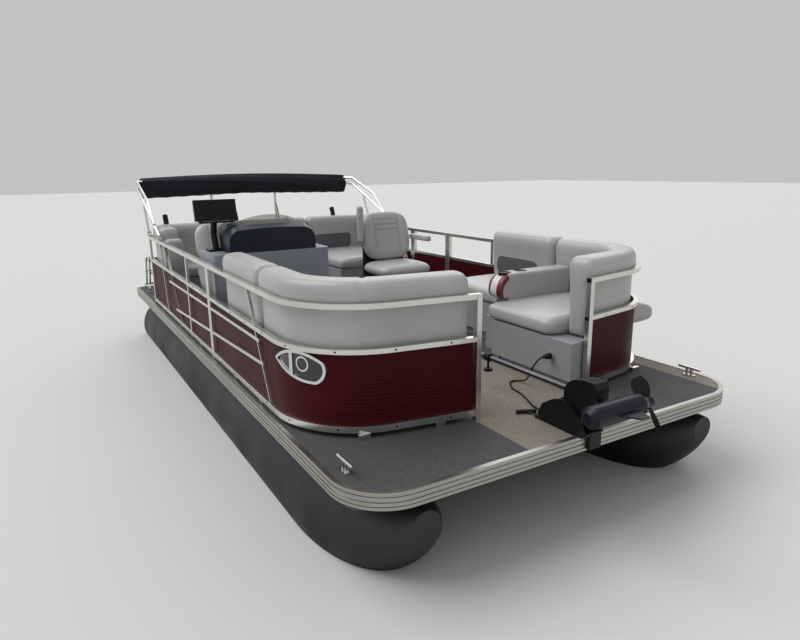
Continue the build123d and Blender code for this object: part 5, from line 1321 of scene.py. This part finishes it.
@dataclass
class Studio:
    """Pale floor at the waterline, soft lamps and the camera."""

    place: tuple[float, float, float] = (5.265, -2.261, 2.058)
    yaw: float = 30.54
    pitch: float = 13.74
    roll: float = 0.77
    focal_px: float = 619.9
    width_px: int = 800
    floor_half: float = 60.0
    aim: tuple[float, float, float] = (0.3, 0, 0.8)
    surround: float = 0.68
    suns: tuple[tuple[str, tuple[float, float, float], float, float], ...] = (
        ("key", (-3.5, -5.0, 9.0), 50, 1.9),
        ("fill", (6.5, -3.0, 5.0), 90, 0.25),
        ("back", (-6.0, 5.0, 6.5), 50, 0.7),
    )

    def camera(self) -> None:
        """Places the camera as the photograph was taken."""
        data = bpy.data.cameras.new("camera")
        data.sensor_width = 36.0
        data.lens = self.focal_px / self.width_px * 36.0
        made = bpy.data.objects.new("camera", data)
        bpy.context.scene.collection.objects.link(made)
        yaw, pitch, roll = (math.radians(v) for v in (self.yaw, self.pitch, self.roll))
        ahead = Vector((-math.cos(yaw), math.sin(yaw), 0))
        right = Vector((math.sin(yaw), math.cos(yaw), 0))
        down = Vector((0, 0, -1))
        look = ahead * math.cos(pitch) + down * math.sin(pitch)
        sunk = down * math.cos(pitch) - ahead * math.sin(pitch)
        across = right * math.cos(roll) + sunk * math.sin(roll)
        below = sunk * math.cos(roll) - right * math.sin(roll)
        turn = Matrix((across, -below, -look)).transposed().to_4x4()
        made.matrix_world = Matrix.Translation(self.place) @ turn
        bpy.context.scene.camera = made

    def floor(self) -> None:
        """Lays the plain floor at the waterline."""
        half = self.floor_half
        mesh = bpy.data.meshes.new("floor")
        corners = [(x * half, y * half, WATERLINE) for x, y in ((-1, -1), (1, -1), (1, 1), (-1, 1))]
        mesh.from_pydata(corners, [], [(0, 1, 2, 3)])
        made = bpy.data.objects.new("floor", mesh)
        paint = bpy.data.materials.new("matt studio floor")
        paint.use_nodes = True
        shader = paint.node_tree.nodes["Principled BSDF"]
        shader.inputs["Base Color"].default_value = srgb("C8C8C6")
        shader.inputs["Roughness"].default_value = 0.9
        mesh.materials.append(paint)
        bpy.context.scene.collection.objects.link(made)

    def lamps(self) -> None:
        """Sets three broad distant lamps, even from near to far, and a pale world."""
        for name, place, degrees, strength in self.suns:
            data = bpy.data.lights.new(name, "SUN")
            data.energy = strength
            data.angle = math.radians(degrees)
            made = bpy.data.objects.new(name, data)
            bpy.context.scene.collection.objects.link(made)
            made.location = place
            made.rotation_mode = "QUATERNION"
            made.rotation_quaternion = (Vector(self.aim) - Vector(place)).to_track_quat("-Z", "Y")
        world = bpy.data.worlds.new("pale surround")
        world.use_nodes = True
        world.node_tree.nodes["Background"].inputs[0].default_value = srgb("E6E7E8")
        world.node_tree.nodes["Background"].inputs[1].default_value = self.surround
        bpy.context.scene.world = world

    def build(self) -> None:
        """Sets up the whole studio."""
        self.camera()
        self.floor()
        self.lamps()
        bpy.context.scene.view_settings.view_transform = "Standard"


def main() -> None:
    """Builds the studio and then each sub-assembly in order."""
    logging.basicConfig(level=logging.INFO, format="%(message)s")
    Studio().build()
    Lead().build()
    dress_nodes()
    Lounges().build()
    Insets().build()
    Chair("helm_chair", "helm_chair", "helm_chair_cushions", aft(3.48), -0.78, 0.85).build()
    Chair("captain_chair", "captain_chair", "captain_chair_cushions", aft(2.75), 0.5, 0.92).build()
    ChairArm("captain_arm_port", "captain_armrest_port", (0.347, 0.7663, 1.450), (1, 0, 0)).build()
    ChairArm("captain_arm_starboard", "captain_armrest_starboard", (0.372, 0.2337, 1.425), (0, 0, 1)).build()
    Boot().build()
    Armrest().build()
    RailCaps().build()
    Screws().build()


if __name__ == "__main__":
    main()
